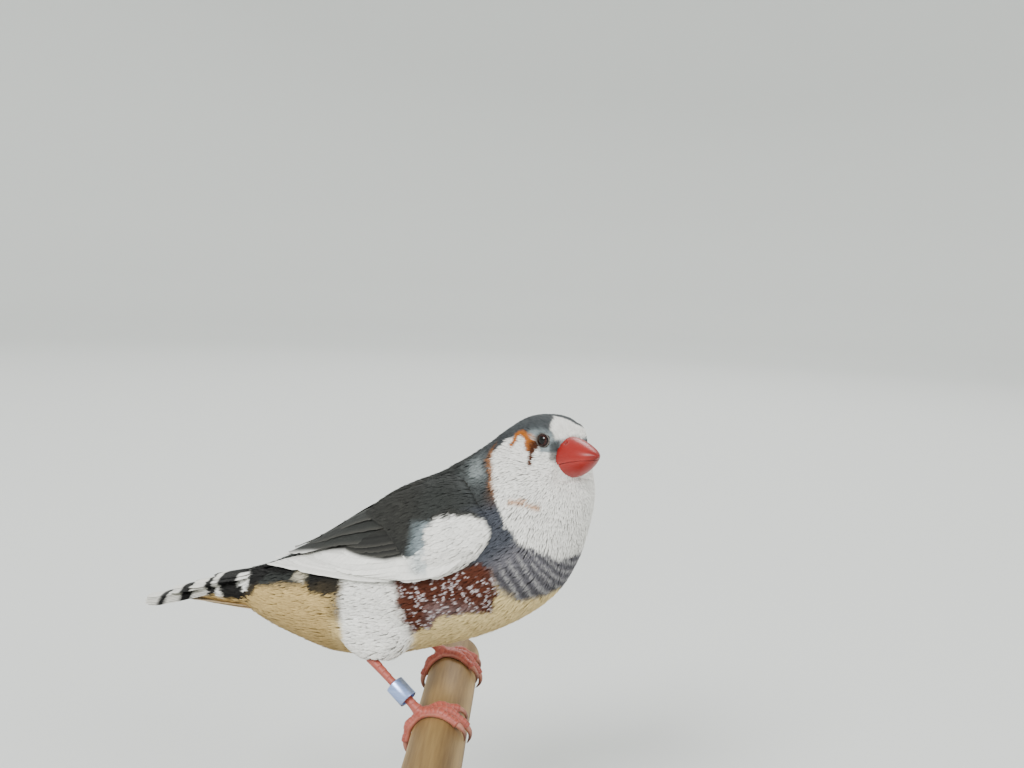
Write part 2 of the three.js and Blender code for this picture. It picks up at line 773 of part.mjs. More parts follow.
const [neckCut, headCut] = NECK_SHARES;
const sockets = [1, -1].map((side) => {
  const { centre, radius } = eyeball(side);
  return ball(centre.x, centre.y, centre.z, radius + GAP, 14, 9);
});
const head = union([body.intersect(sideOf(headCut, true)), lid(1), lid(-1)])
  .subtract(sockets[0])
  .subtract(sockets[1])
  .subtract(billForm(GAP));
addPiece(bird, "head", head, GREY_PLUMAGE);
addPiece(
  bird,
  "neck",
  body.intersect(sideOf(headCut, false)).intersect(sideOf(neckCut, true)).subtract(billForm(GAP)),
  WHITE_PLUMAGE,
);
const legs = [1, -1].map((side) => leg(side));
const torso = union([body.intersect(sideOf(neckCut, false)), thigh(1), thigh(-1)]);
const sleeve = (side) => {
  const foot = onPerch(footAngle(side), side * FOOT_Y, GAP + 1.35);
  const ankle = new THREE.Vector3(ANKLE.x, side * ANKLE.y, ANKLE.z);
  const top = ankle.clone().addScaledVector(foot.clone().sub(ankle), -0.03);
  return rod(new THREE.LineCurve3(top, foot), () => TARSUS_RADIUS * 1.12 + 0.16 + GAP, 1, 12);
};
addPiece(bird, "torso", torso.subtract(sleeve(1)).subtract(sleeve(-1)), GREY_PLUMAGE);

const bill = billForm(0);
const beakParts = bill.subtract(mouthSlit(GAP)).decompose();
beakParts.sort((a, b) => b.boundingBox().max[2] - a.boundingBox().max[2]);
const nostrils = [1, -1].map((side) => {
  const at = headVector(29.6, side * 2.55, 58.9);
  return ball(at.x, at.y, at.z, 0.5, 10, 6);
});
addPiece(bird, "bill_upper", beakParts[0].subtract(nostrils[0]).subtract(nostrils[1]), RED_BILL);
addPiece(bird, "bill_lower", beakParts[1], RED_BILL);
for (const [name, side] of [["eye_left", 1], ["eye_right", -1]]) {
  const { centre, radius } = eyeball(side);
  addPiece(bird, name, ball(centre.x, centre.y, centre.z, radius, 14, 9), EYE_DARK);
}

addPiece(bird, "wing_left", wing(1), GREY_PLUMAGE);
addPiece(bird, "wing_right", wing(-1), WHITE_PLUMAGE);
addPiece(bird, "tail", tail(), TAIL_PLUMAGE);
addPiece(bird, "leg_left", legs[0], PINK_LEG);
addPiece(bird, "leg_right", legs[1], PINK_LEG);
for (const [name, side] of [["left", 1], ["right", -1]]) {
  TOES.forEach((toe, i) => addPiece(bird, `claw_${name}_${i + 1}`, claw(side, toe), CLAW_HORN));
}
addPiece(bird, "leg_ring", legRing(), RING_BLUE);

// Perch and display stand
const perch = new THREE.Mesh(
  new THREE.CylinderGeometry(PERCH_RADIUS, PERCH_RADIUS, PERCH_LENGTH, 36),
  PERCH_WOOD,
);
perch.name = "perch";
perch.position.z = RIDGE_Z - PERCH_RADIUS;
model.add(perch);

const outline = new THREE.Shape();
const [hx, hy, r] = [BASE_WIDTH / 2 - 1, BASE_LENGTH / 2 - 1, BASE_CORNER_RADIUS - 1];
outline.absarc(hx - r, hy - r, r, 0, Math.PI / 2);
outline.absarc(r - hx, hy - r, r, Math.PI / 2, Math.PI);
outline.absarc(r - hx, r - hy, r, Math.PI, 1.5 * Math.PI);
outline.absarc(hx - r, r - hy, r, 1.5 * Math.PI, 2 * Math.PI);
const slab = new THREE.ExtrudeGeometry(outline, {
  depth: BASE_THICKNESS - 2,
  bevelThickness: 1,
  bevelSize: 1,
  bevelSegments: 1,
  curveSegments: 5,
});
slab.translate(0, 0, 1);
addPiece(model, "stand_base", solid(slab), BASE_WOOD);

const perchHollow = solid(
  new THREE.CylinderGeometry(PERCH_RADIUS + GAP, PERCH_RADIUS + GAP, PERCH_LENGTH, 36).translate(
    0,
    0,
    RIDGE_Z - PERCH_RADIUS,
  ),
);
for (const [name, side] of [["stand_rod_near", -1], ["stand_rod_far", 1]]) {
  const height = ROD_HEIGHT + 3 - GAP;
  const stem = new THREE.CylinderGeometry(ROD_RADIUS, ROD_RADIUS, height, 20);
  stem.rotateX(Math.PI / 2);
  stem.translate(0, (side * ROD_SPACING) / 2, BASE_THICKNESS + GAP + height / 2);
  addPiece(model, name, solid(stem).subtract(perchHollow), ROD_STEEL);
}

export default model;
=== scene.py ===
"""A life-size model of a pied zebra finch on a cut length of perch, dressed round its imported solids."""
import math

import bmesh
import bpy
import numpy as np
from mathutils import Matrix, Vector
from mathutils.bvhtree import BVHTree
from mathutils.kdtree import KDTree


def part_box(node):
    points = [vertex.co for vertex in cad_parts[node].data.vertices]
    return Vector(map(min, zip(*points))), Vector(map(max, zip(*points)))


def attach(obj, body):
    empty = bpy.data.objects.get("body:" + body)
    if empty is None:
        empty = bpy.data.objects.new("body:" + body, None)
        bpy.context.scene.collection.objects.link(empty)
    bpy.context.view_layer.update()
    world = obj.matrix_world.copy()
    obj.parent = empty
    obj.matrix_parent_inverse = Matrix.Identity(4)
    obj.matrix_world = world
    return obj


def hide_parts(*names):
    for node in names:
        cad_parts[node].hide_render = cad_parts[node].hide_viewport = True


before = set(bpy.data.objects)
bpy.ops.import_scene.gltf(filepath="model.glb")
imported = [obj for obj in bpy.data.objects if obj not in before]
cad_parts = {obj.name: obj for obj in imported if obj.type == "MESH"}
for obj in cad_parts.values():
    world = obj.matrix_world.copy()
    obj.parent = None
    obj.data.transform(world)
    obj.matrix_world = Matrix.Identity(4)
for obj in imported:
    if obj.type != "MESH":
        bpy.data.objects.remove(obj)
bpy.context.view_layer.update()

# Sizes are in millimetres in the bird's own frame: x forward, y to its left, z up from the perch
MM = 0.001
SEED = 5
BIRD_PLACE = (0, 8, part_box("perch")[1].z / MM)
BODY_TURN = 6
HEAD_X = 21.6
HEAD_TURN = 46
EYE = (25.3, 4.5, 58.5)
EYE_RADIUS = 1.88
LID_RADIUS = 1.5
LID_HEIGHT = 1.18
BILL_BASE = (28.6, 0, 55.2)
COAT_DEPTH = 0.95
FACE_DEPTH = 0.6
BAR_SPACING = 1.45
rng = np.random.default_rng(SEED)

# Sections through the body from the tail's root to the crown: x and z where each meets the back
# line and the breast line, and how far it is turned with the head
SECTIONS = np.array((
    (-46.5, 24.3, -46.5, 13.6, 0),
    (-32, 31.4, -33.4, 8.2, 0),
    (-16, 41.6, -13, 6.2, 0),
    (-3, 49.4, 9, 12.8, 0),
    (5.2, 54.5, 25.4, 24.2, 1),
    (9.2, 57.8, 31.2, 39.6, 13),
    (11.6, 60.2, 31.2, 48.7, 34),
    (14.6, 62.1, 29.7, 54.9, 46),
    (19.8, 63.5, 27, 61.4, 46),
    (23.4, 63.4, 23.8, 63.2, 46),
), float)
# The line inside the body that the folded wings are laid out round, x and z
AXIS = np.array(((-47, 19), (-30, 20.5), (-15, 24.5), (0, 29.5), (12, 37), (20, 47), (22, 60)), float)


# Frames of reference

def spun(points, degrees, x=0):
    """Points turned clockwise, seen from above, about the upright line at x."""
    angle = np.radians(degrees)
    ahead, aside = points[..., 0] - x, points[..., 1]
    return np.stack((
        x + ahead * np.cos(angle) + aside * np.sin(angle),
        aside * np.cos(angle) - ahead * np.sin(angle),
        points[..., 2],
    ), -1)


def to_world(points):
    """The bird's frame in millimetres to the scene's frame in metres."""
    return (spun(points, BODY_TURN) + BIRD_PLACE) * MM


def to_bird(points):
    return spun(points / MM - BIRD_PLACE, -BODY_TURN)


def turned(points, degrees=HEAD_TURN):
    """Places on the straight bird's head, turned with it towards its right."""
    return spun(np.asarray(points), degrees, HEAD_X)


def unit(vectors):
    return vectors / np.maximum(np.linalg.norm(vectors, axis=-1, keepdims=True), 1e-9)


def smooth(value, low, high):
    """0 below low and 1 above high, with an even passage between."""
    share = np.clip((value - low) / (high - low), 0, 1)
    return share * share * (3 - 2 * share)


def between(value, low, full, fall, high):
    """1 from full to fall, with an even passage to 0 at low and at high."""
    return smooth(value, low, full) * (1 - smooth(value, fall, high))


def curve(pairs, at):
    return np.interp(at, *zip(*pairs))


def section_at(share):
    """The section at a share of the way from the tail's root to the crown."""
    place = np.clip(share, 0, 1) * (len(SECTIONS) - 1)
    return np.stack([np.interp(place, range(len(SECTIONS)), column) for column in SECTIONS.T], -1)


def body_places(points):
    """Each point's share along the body, its angle round it from the back line, and the point
    as it lies in the straight bird."""
    planes = 64
    back_x, back_z, front_x, front_z, _ = section_at(np.linspace(0, 1, planes)).T
    rows = np.arange(len(points))
    turn = np.zeros(len(points))
    for _ in range(4):
        straight = turned(points, -turn)
        ahead = (front_x - back_x) * (straight[:, 2:] - back_z)
        ahead -= (front_z - back_z) * (straight[:, :1] - back_x)
        ahead /= np.hypot(front_x - back_x, front_z - back_z)
        last = np.clip((ahead > 0).sum(1) - 1, 0, planes - 2)
        past, short = ahead[rows, last], ahead[rows, last + 1]
        share = (last + np.clip(past / np.maximum(past - short, 1e-6), 0, 1)) / (planes - 1)
        section = section_at(share)
        turn = section[:, 4]
    straight = turned(points, -turn)
    centre = (section[:, 0:2] + section[:, 2:4]) / 2
    rise = ((straight[:, [0, 2]] - centre) * unit(section[:, 0:2] - centre)).sum(1)
    return share, np.degrees(np.arctan2(np.abs(straight[:, 1]), rise)), straight


def coat_lie(points, share, angle):
    """The way that the feathers point: back along the body, and away from the bill on the head."""
    along = section_at(share + 0.02) - section_at(share - 0.02)
    front = (0.5 - 0.5 * np.cos(np.radians(angle)))[:, None]
    flat = -((1 - front) * along[:, 0:2] + front * along[:, 2:4])
    body = unit(spun(np.stack((flat[:, 0], 0 * share, flat[:, 1]), -1), section_at(share)[:, 4]))
    from_bill = points - turned((BILL_BASE[0] + 4, 0, BILL_BASE[2] + 1))
    far = smooth(np.linalg.norm(from_bill, axis=1), 13, 22)[:, None]
    return unit(far * body + (1 - far) * unit(from_bill))


# Building meshes

def only(piece, *others):
    """Selects one object, with any others that join it, and nothing else."""
    bpy.ops.object.select_all(action="DESELECT")
    for chosen in (piece, *others):
        chosen.select_set(True)
    bpy.context.view_layer.objects.active = piece


def open_shape(piece):
    """Opens a piece for shaping, with all of it selected."""
    only(piece)
    bpy.ops.object.mode_set(mode="EDIT")
    bpy.ops.mesh.select_all(action="SELECT")


def apply_modifier(piece, kind, **settings):
    only(piece)
    modifier = piece.modifiers.new(kind.title(), kind)
    for name, value in settings.items():
        setattr(modifier, name, value)
    bpy.ops.object.modifier_apply(modifier=modifier.name)


def shade(piece, angle):
    """Shades a piece smooth across edges that turn less than the angle."""
    only(piece)
    bpy.ops.object.shade_smooth_by_angle(angle=math.radians(angle))


def add_object(name, mesh):
    piece = bpy.data.objects.new(name, mesh)
    bpy.context.scene.collection.objects.link(piece)
    return piece


def add_mesh(name, points, faces, material):
    """A new object at the origin from points in the bird's frame and faces of equal size."""
    mesh = bpy.data.meshes.new(name)
    mesh.vertices.add(len(points))
    mesh.loops.add(faces.size)
    mesh.loops.foreach_set("vertex_index", faces.ravel().astype(np.int32))
    mesh.polygons.add(len(faces))
    mesh.polygons.foreach_set("loop_start", np.arange(0, faces.size, faces.shape[1], dtype=np.int32))
    mesh.vertices.foreach_set("co", to_world(points).astype(np.float32).ravel())
    mesh.update(calc_edges=True)
    mesh.validate()
    mesh.materials.append(material)
    mesh.shade_smooth()
    return add_object(name, mesh)


def coordinates(piece):
    points = np.empty(len(piece.data.vertices) * 3, np.float32)
    piece.data.vertices.foreach_get("co", points)
    return points.reshape(-1, 3).astype(float)


def settle(piece, place):
    """Moves a piece's points to the places that a function gives for them, its object at the origin."""
    piece.data.vertices.foreach_set("co", place(coordinates(piece)).astype(np.float32).ravel())
    piece.data.update()


def wear(piece, slot, *nodes):
    """Joins a piece to the model, in the place of the solids that it stands for."""
    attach(piece, "root")
    if nodes:
        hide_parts(*nodes)


def store(piece, name, values):
    """Keeps three or four numbers for each point under a name that materials read."""
    kind, key = (("FLOAT_VECTOR", "vector"), ("FLOAT_COLOR", "color"))[values.shape[-1] - 3]
    layer = piece.data.attributes.new(name, kind, "POINT")
    layer.data.foreach_set(key, values.astype(np.float32).ravel())


def paint(piece, tone):
    """Keeps each point's own colour."""
    store(piece, "tone", np.concatenate((np.clip(tone, 0, 1), np.ones((*tone.shape[:-1], 1))), -1))


def corner_points(mesh):
    corners = np.empty(len(mesh.loops), np.int32)
    mesh.loops.foreach_get("vertex_index", corners)
    return corners


def bake_map(piece, uv):
    """Gives every corner its point's place on the map that the colours are baked on."""
    layer = piece.data.uv_layers.new(name="OFBake")
    layer.data.foreach_set("uv", uv.reshape(-1, 2)[corner_points(piece.data)].astype(np.float32).ravel())


def band_faces(first, rows, columns):
    """The triangles between rings of points that follow one another, from a first point on."""
    faces = []
    for a in range(first, first + (rows - 1) * columns):
        b = a + 1 if (a + 1 - first) % columns else a + 1 - columns
        faces += [(a, b, b + columns), (a, b + columns, a + columns)]
    return faces


def tube_faces(rows, columns):
    """The triangles of a closed tube: a first point, the rings in turn and a last point."""
    last = 1 + rows * columns
    faces = band_faces(1, rows, columns)
    for j in range(columns):
        following = (j + 1) % columns
        faces += [(0, 1 + following, 1 + j), (last, last - columns + j, last - columns + following)]
    return np.array(faces)


def copies(faces, count, points):
    """The same faces for each of many small forms of so many points."""
    return (faces[None] + points * np.arange(count)[:, None, None]).reshape(-1, 3)


def add_tube(name, rings, material):
    """A closed tube through rings of points in the bird's frame, with a fan at each end."""
    points = np.concatenate((rings[:1].mean(1), rings.reshape(-1, 3), rings[-1:].mean(1)))
    piece = add_mesh(name, points, tube_faces(*rings.shape[:2]), material)
    open_shape(piece)
    bpy.ops.mesh.normals_make_consistent(inside=False)
    bpy.ops.object.mode_set(mode="OBJECT")
    return piece


def copy_of(name, nodes, material, swell):
    """One mesh from copies of solids, merged, with each swollen a little so that they meet."""
    mesh = bpy.data.meshes.new(name)
    joined = bmesh.new()
    for node in nodes:
        part = bmesh.new()
        part.from_mesh(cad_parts[node].data)
        bmesh.ops.remove_doubles(part, verts=part.verts, dist=1e-6)
        part.normal_update()
        for vertex in part.verts:
            vertex.co += vertex.normal * swell * MM
        part.to_mesh(mesh)
        joined.from_mesh(mesh)
        part.free()
    joined.to_mesh(mesh)
    joined.free()
    mesh.materials.clear()
    mesh.materials.append(material)
    return add_object(name, mesh)


# Materials

def linear(code):
    """An sRGB hex colour as linear red, green and blue."""
    values = np.array([int(code[i:i + 2], 16) for i in (0, 2, 4)]) / 255
    return np.where(values <= 0.04045, values / 12.92, ((values + 0.055) / 1.055) ** 2.4)


def rgba(code):
    return (*linear(code), 1)


def add(tree, kind, sockets=(), **settings):
    """Adds one node with its settings. Its sockets take values, other sockets, or other nodes,
    which stand for their first outputs."""
    node = tree.nodes.new("ShaderNode" + kind)
    for name, value in settings.items():
        setattr(node, name, value)
    for socket, value in sockets.items() if isinstance(sockets, dict) else enumerate(sockets):
        if isinstance(value, bpy.types.Node):
            value = value.outputs[0]
        if isinstance(value, bpy.types.NodeSocket):
            tree.links.new(value, node.inputs[socket])
        else:
            node.inputs[socket].default_value = value
    return node


def new_material(name):
    """A material and its node tree, emptied."""
    made = bpy.data.materials.new(name)
    made.use_nodes = True
    made.node_tree.nodes.clear()
    return made, made.node_tree


def surface(tree, gloss, colour, height, strength, distance):
    """Ends a material: its shader, with its gloss, its colour and the relief that a height gives."""
    relief = add(tree, "Bump", {"Height": height, "Strength": strength, "Distance": distance})
    shader = add(tree, "BsdfPrincipled", {**gloss, "Base Color": colour, "Normal": relief})
    add(tree, "OutputMaterial", (shader,))


def plumage_material():
    """Soft keratin barbs: matt, with a faint sheen and fine slanting lines each side of the shaft."""
    made, tree = new_material("feather_keratin")
    place = add(tree, "TexCoord").outputs["Object"]
    tone = add(tree, "Attribute", attribute_name="tone")
    vane = add(tree, "Attribute", attribute_name="vane")
    across, along, own = add(tree, "SeparateXYZ", (vane.outputs["Vector"],)).outputs
    barb_spacing = 0.24  # drawn about three times as coarse as real barbs, so that they show
    phase = add(tree, "Math", (along, 2 * math.pi / barb_spacing), operation="MULTIPLY")
    barbs = add(tree, "Math", (phase,), operation="SINE")
    grain = add(tree, "TexNoise", {"Vector": place, "Scale": 900, "Detail": 2})
    lengthways = add(tree, "Math", (along, 2.2), operation="MULTIPLY")
    apart = add(tree, "Math", (own, 60), operation="MULTIPLY")
    streak_place = add(tree, "CombineXYZ", (across, lengthways, apart))
    streaks = add(tree, "TexNoise", {"Vector": streak_place, "Scale": 1, "Detail": 3})
    light = 0.76
    for source, share in ((barbs, 0.07), (streaks, 0.4)):
        light = add(tree, "Math", (source, share, light), operation="MULTIPLY_ADD")
    for source, share in ((grain, 0.16), (own, 0.1)):
        mottle = add(tree, "Math", (source, share, 1 - share / 2), operation="MULTIPLY_ADD")
        light = add(tree, "Math", (light, mottle), operation="MULTIPLY")
    colour = add(tree, "VectorMath", {0: tone.outputs["Color"], "Scale": light}, operation="SCALE")
    gloss = {"Roughness": 0.72, "Specular IOR Level": 0.2, "Sheen Weight": 0.02, "Sheen Roughness": 0.5}
    surface(tree, gloss, colour, barbs, 0.25, 0.04 * MM)
    return made


def toned_material(name, scale, spread, strength, distance, gloss, level=1):
    """A finish that takes its colour from the piece's own tone, with fine mottling and relief."""
    made, tree = new_material(name)
    place = add(tree, "TexCoord").outputs["Object"]
    tone = add(tree, "Attribute", attribute_name="tone")
    noise = add(tree, "TexNoise", {"Vector": place, "Scale": scale, "Detail": 3})
    light = add(tree, "Math", (noise, 2 * spread, level - spread), operation="MULTIPLY_ADD")
    colour = add(tree, "VectorMath", {0: tone.outputs["Color"], "Scale": light}, operation="SCALE")
    surface(tree, gloss, colour, noise, strength, distance * MM)
    return made


def metal_material(name, dark, light, scale, stretch, strength, gloss):
    """A metal with fine marks round it, left by turning or by wear."""
    made, tree = new_material(name)
    place = add(tree, "TexCoord").outputs["Object"]
    mapping = add(tree, "Mapping", {"Vector": place, "Scale": (1, 1, stretch)})
    marks = add(tree, "TexNoise", {"Vector": mapping, "Scale": scale, "Detail": 4})
    ramp = add(tree, "ValToRGB", (marks,))
    ramp.color_ramp.elements[0].color = rgba(dark)
    ramp.color_ramp.elements[1].color = rgba(light)
    surface(tree, gloss, ramp, marks, strength, 0.03 * MM)
    return made


def wood_material(name, dark, light, ring_spacing, pores, gloss):
    """Sawn wood: growth rings cut at a slant, with fine pores along the grain."""
    made, tree = new_material(name)
    place = add(tree, "TexCoord").outputs["Object"]
    grain = add(tree, "Mapping", {"Vector": place, "Scale": (1, 0.06, 1), "Rotation": (0.04, 0.03, 0.05)})
    warp = add(tree, "TexNoise", {"Vector": grain, "Scale": 90, "Detail": 3})
    rings = add(tree, "TexWave", {
        "Vector": grain, "Scale": 1 / (ring_spacing * MM) / 20, "Distortion": 3.5, "Detail": 2,
        "Detail Scale": 1.4,
    }, wave_type="RINGS", rings_direction="Y")
    fine = add(tree, "TexNoise", {"Vector": grain, "Scale": pores, "Detail": 4})
    mix = add(tree, "Math", (rings.outputs[1], 0.35), operation="MULTIPLY")
    for source, share in ((warp, 0.5), (fine, 0.45)):
        mix = add(tree, "Math", (source, share, mix), operation="MULTIPLY_ADD")
    ramp = add(tree, "ValToRGB", (mix,))
    for stop, share, code in zip(ramp.color_ramp.elements, (0.32, 0.85), (dark, light)):
        stop.position = share
        stop.color = rgba(code)
    surface(tree, gloss, ramp, fine, 0.35, 0.1 * MM)
    return made


FEATHERS = plumage_material()
# Skin and down under the coat are dull, in the coat's own colours but darker: the darkening is painted
# shade, for the shade deep under the feathers
SKIN = toned_material("skin_and_down", 1500, 0.15, 0.4, 0.1,
                      {"Roughness": 0.85, "Specular IOR Level": 0.2}, level=0.9)
# Living horn is slightly translucent and waxy, so it has a soft gloss and a little depth of colour
BILL_HORN = toned_material("waxy_bill_horn", 1400, 0.08, 0.12, 0.04, {
    "Roughness": 0.36, "Specular IOR Level": 0.35, "Subsurface Weight": 0.08, "Subsurface Scale": 0.5 * MM,
})
# The wet cornea gives the eye its hard bright highlight
EYE_GLASS = toned_material("wet_cornea", 3000, 0.1, 0, 0.01,
                           {"Roughness": 0.04, "Specular IOR Level": 0.3})
# Bare lid skin is matt and finely wrinkled
LID_SKIN = toned_material("lid_skin", 2600, 0.15, 0.4, 0.05,
                          {"Roughness": 0.6, "Specular IOR Level": 0.35})
# Scaly leg skin is dry with a dull shine on each plate
LEG_SKIN = toned_material("scaly_leg_skin", 2200, 0.12, 0.35, 0.06, {
    "Roughness": 0.46, "Specular IOR Level": 0.45, "Subsurface Weight": 0.15, "Subsurface Scale": 0.5 * MM,
})
# Claw horn is smooth, glossy and darker towards its point
CLAW_HORN = toned_material("claw_horn", 2500, 0.12, 0.15, 0.03,
                           {"Roughness": 0.3, "Specular IOR Level": 0.5})
# Anodised aluminium shows as a pale blue metallic film with fine scratches round it
ALUMINIUM = metal_material("anodised_aluminium", "8098d0", "b5c7ee", 500, 6, 0.2,
                           {"Metallic": 0.85, "Roughness": 0.34})
# Turned steel has a soft shine, broken by the turning marks
STEEL = metal_material("turned_steel", "8f9295", "c6c8c9", 300, 9, 0.15,
                       {"Metallic": 1.0, "Roughness": 0.28})
# The dowel is pale softwood, dulled by use
# Both tones are set darker than the bare wood: painted shade, for the shade that the perch lies in under
# the bird
DOWEL = wood_material("softwood_dowel_in_painted_shade", "604624", "9c7f4e", 0.9, 1600, {"Roughness": 0.62})
# The base is oiled dark hardwood with open pores
WALNUT = wood_material("oiled_walnut", "38220f", "7a5636", 2.5, 1100,
                       {"Roughness": 0.42, "Coat Weight": 0.12})

# Plumage colours
CROWN = linear("404446")
NAPE = linear("393c3e")
MANTLE = linear("2c2e2c")
NECK_SIDE = linear("40434b")
NECK_PATCH = linear("9aa3a3")
BREAST = linear("68666c")
BREAST_BAR = linear("39373c")
LORE = linear("8b9598")
WHITE = linear("f1efe9")
CREAM = linear("e4cc92")
VENT = linear("c2a56c")
PALE_RUMP = linear("bdb59f")
CHESTNUT = linear("502616")
LILAC = linear("a08f90")
SPOT = linear("cfc8cb")
BLACK = linear("131211")
TAIL_WHITE = linear("dedcd4")
ORANGE = linear("a35d1f")
OCHRE = linear("84501f")
TAN = linear("b98050")
TEAR = linear("4b2714")
WING_DARK = linear("2b2b28")
WING_DARKER = linear("1f1f1e")
WING_EDGE = linear("504e49")
WHITE_SHAFT = linear("8d8a84")
BLUE_GREY = linear("97a6ac")
# Painted shade: the skin hidden under the bill's base is near black, so that the gaps at the mouth and
# round the bill's base show dark
PAINTED_SHADE_UNDER_BILL = linear("2c0d09")


# Markings: outlines and lines by x and z on the straight bird

CHESTNUT_FLANK = (
    (-11, 25.5), (-8.2, 27.5), (-1.6, 29), (4.9, 31), (9.1, 33), (11.8, 31.5), (12.6, 26), (11.7, 20.7),
    (7, 21.4), (0.7, 19.8), (-3.9, 16.4), (-6.6, 14.4), (-8.2, 19), (-9.8, 22.5),
)
WHITE_THIGH = ((-21.5, 28), (-22, 20.8), (-21, 13), (-17, 6), (-8, 6), (-5.4, 15), (-8, 20), (-9.8, 28))
WHITE_SHOULDER = (
    (-3, 39), (-1.2, 41.4), (2.2, 42.6), (6.6, 42.7), (9.6, 41.7), (10.8, 39.4), (10.5, 36.2),
    (8.8, 32.4), (6, 29.2), (2.8, 27), (-1, 26), (-2.2, 32),
)
WHITE_STRIP = (
    (-44, 27.6), (-39, 27.9), (-30.8, 30.4), (-21.5, 32.3), (-17.4, 31.8), (-11.4, 31.9), (-6.9, 33.2),
    (-2, 35.5),
)
WHITE_OVAL = ((-49.4, 23.2), (-47.6, 23.9), (-46, 22.6), (-45.9, 20.4), (-46.9, 18.9), (-48, 20.4))
BLACK_FLANK = ((-31, 27.5), (-22, 28.5), (-22.5, 23.4), (-26, 22), (-30, 22.4))
BLACK_RUMP = (
    (-47.5, 26), (-42, 25.2), (-38, 25.8), (-35, 26.6), (-35, 25), (-38, 24.3), (-41.5, 23.4),
    (-43.3, 21.4), (-44.6, 18.8), (-47.5, 17.6),
)
PALE_RUMP_PATCH = ((-34, 27.5), (-31, 28), (-31, 23.6), (-34, 24))
EAR_ARCH = ((18.2, 57.2), (19, 58.9), (20.7, 59.7), (22.2, 59.2), (23.1, 58), (23.5, 56.8))
TEAR_MARK = ((24, 57.6), (24, 56), (23.7, 53.8))
NECK_BAR = ((16.2, 46.1), (19.5, 46), (23, 45.1))
# The white of the face and throat starts at these shares along the body, by the angle round it
WHITE_START = (
    (12, 0.75), (22, 0.56), (31, 0.512), (40, 0.498), (49, 0.463), (64, 0.45), (81, 0.446),
    (103, 0.454), (129, 0.487), (146, 0.496), (162, 0.512), (180, 0.516),
)
# The grey of the breast starts at these
GREY_START = (
    (60, 0.36), (100, 0.385), (124, 0.392), (137, 0.403), (151, 0.427), (161, 0.443), (180, 0.452),
)
# The height that the cheek's white reaches on the head, by the place along it
CHEEK_TOP = (
    (9, 54), (12, 56), (14.5, 57.4), (17, 58.2), (19, 59), (21, 59.6), (22.7, 59.5), (24, 58.4),
    (24.8, 56.9), (26, 56.1), (28.5, 56.4),
)
# Where the forehead's white starts, by the distance from the middle
CAP_START = ((0, 22.2), (4.6, 26.4))
# The dark bars across the tail and its coverts, from its tip
BARS = ((-68.6, -66.7), (-63, -60.1), (-56.2, -54.2), (-52.6, -40))


def off_line(line, x, z):
    """How far points lie from the nearest stretch of a line."""
    nearest = np.full(x.shape, 1e9)
    for (x0, z0), (x1, z1) in zip(line[:-1], line[1:]):
        run, rise = x1 - x0, z1 - z0
        share = np.clip(((x - x0) * run + (z - z0) * rise) / (run ** 2 + rise ** 2), 0, 1)
        nearest = np.minimum(nearest, np.hypot(x - x0 - share * run, z - z0 - share * rise))
    return nearest


def near_line(line, x, z, half, soft=0.35):
    """How close points lie to an open line, from 0 to 1."""
    return 1 - smooth(off_line(line, x, z), half - soft, half + soft)


def inside(outline, x, z, soft):
    """How far points lie inside a closed outline, from 0 to 1 across its soft edge."""
    line = (*outline, outline[0])
    crossings = np.zeros(x.shape, int)
    for (x0, z0), (x1, z1) in zip(line[:-1], line[1:]):
        cut = x0 + (z - z0) * (x1 - x0) / (z1 - z0 or 1e-9)
        crossings += ((z0 > z) != (z1 > z)) & (x < cut)
    nearest = off_line(line, x, z)
    return smooth(np.where(crossings % 2 == 1, nearest, -nearest), -soft, soft)


def laid_over(under, *layers):
    """A colour, one for all points or one for each, with others laid over it in turn by amounts."""
    for colour, amount in layers:
        under = under + (colour - under) * np.asarray(amount)[..., None]
    return under


def bar_colours(x, z):
    """Black and white bars across the tail, which slant a little with its feathers."""
    place = x + 0.25 * (z - 18)
    soft = 0.35
    dark = [between(place, low - soft, low + soft, high - soft, high + soft) for low, high in BARS]
    return laid_over(TAIL_WHITE, (BLACK, np.max(dark, axis=0)))


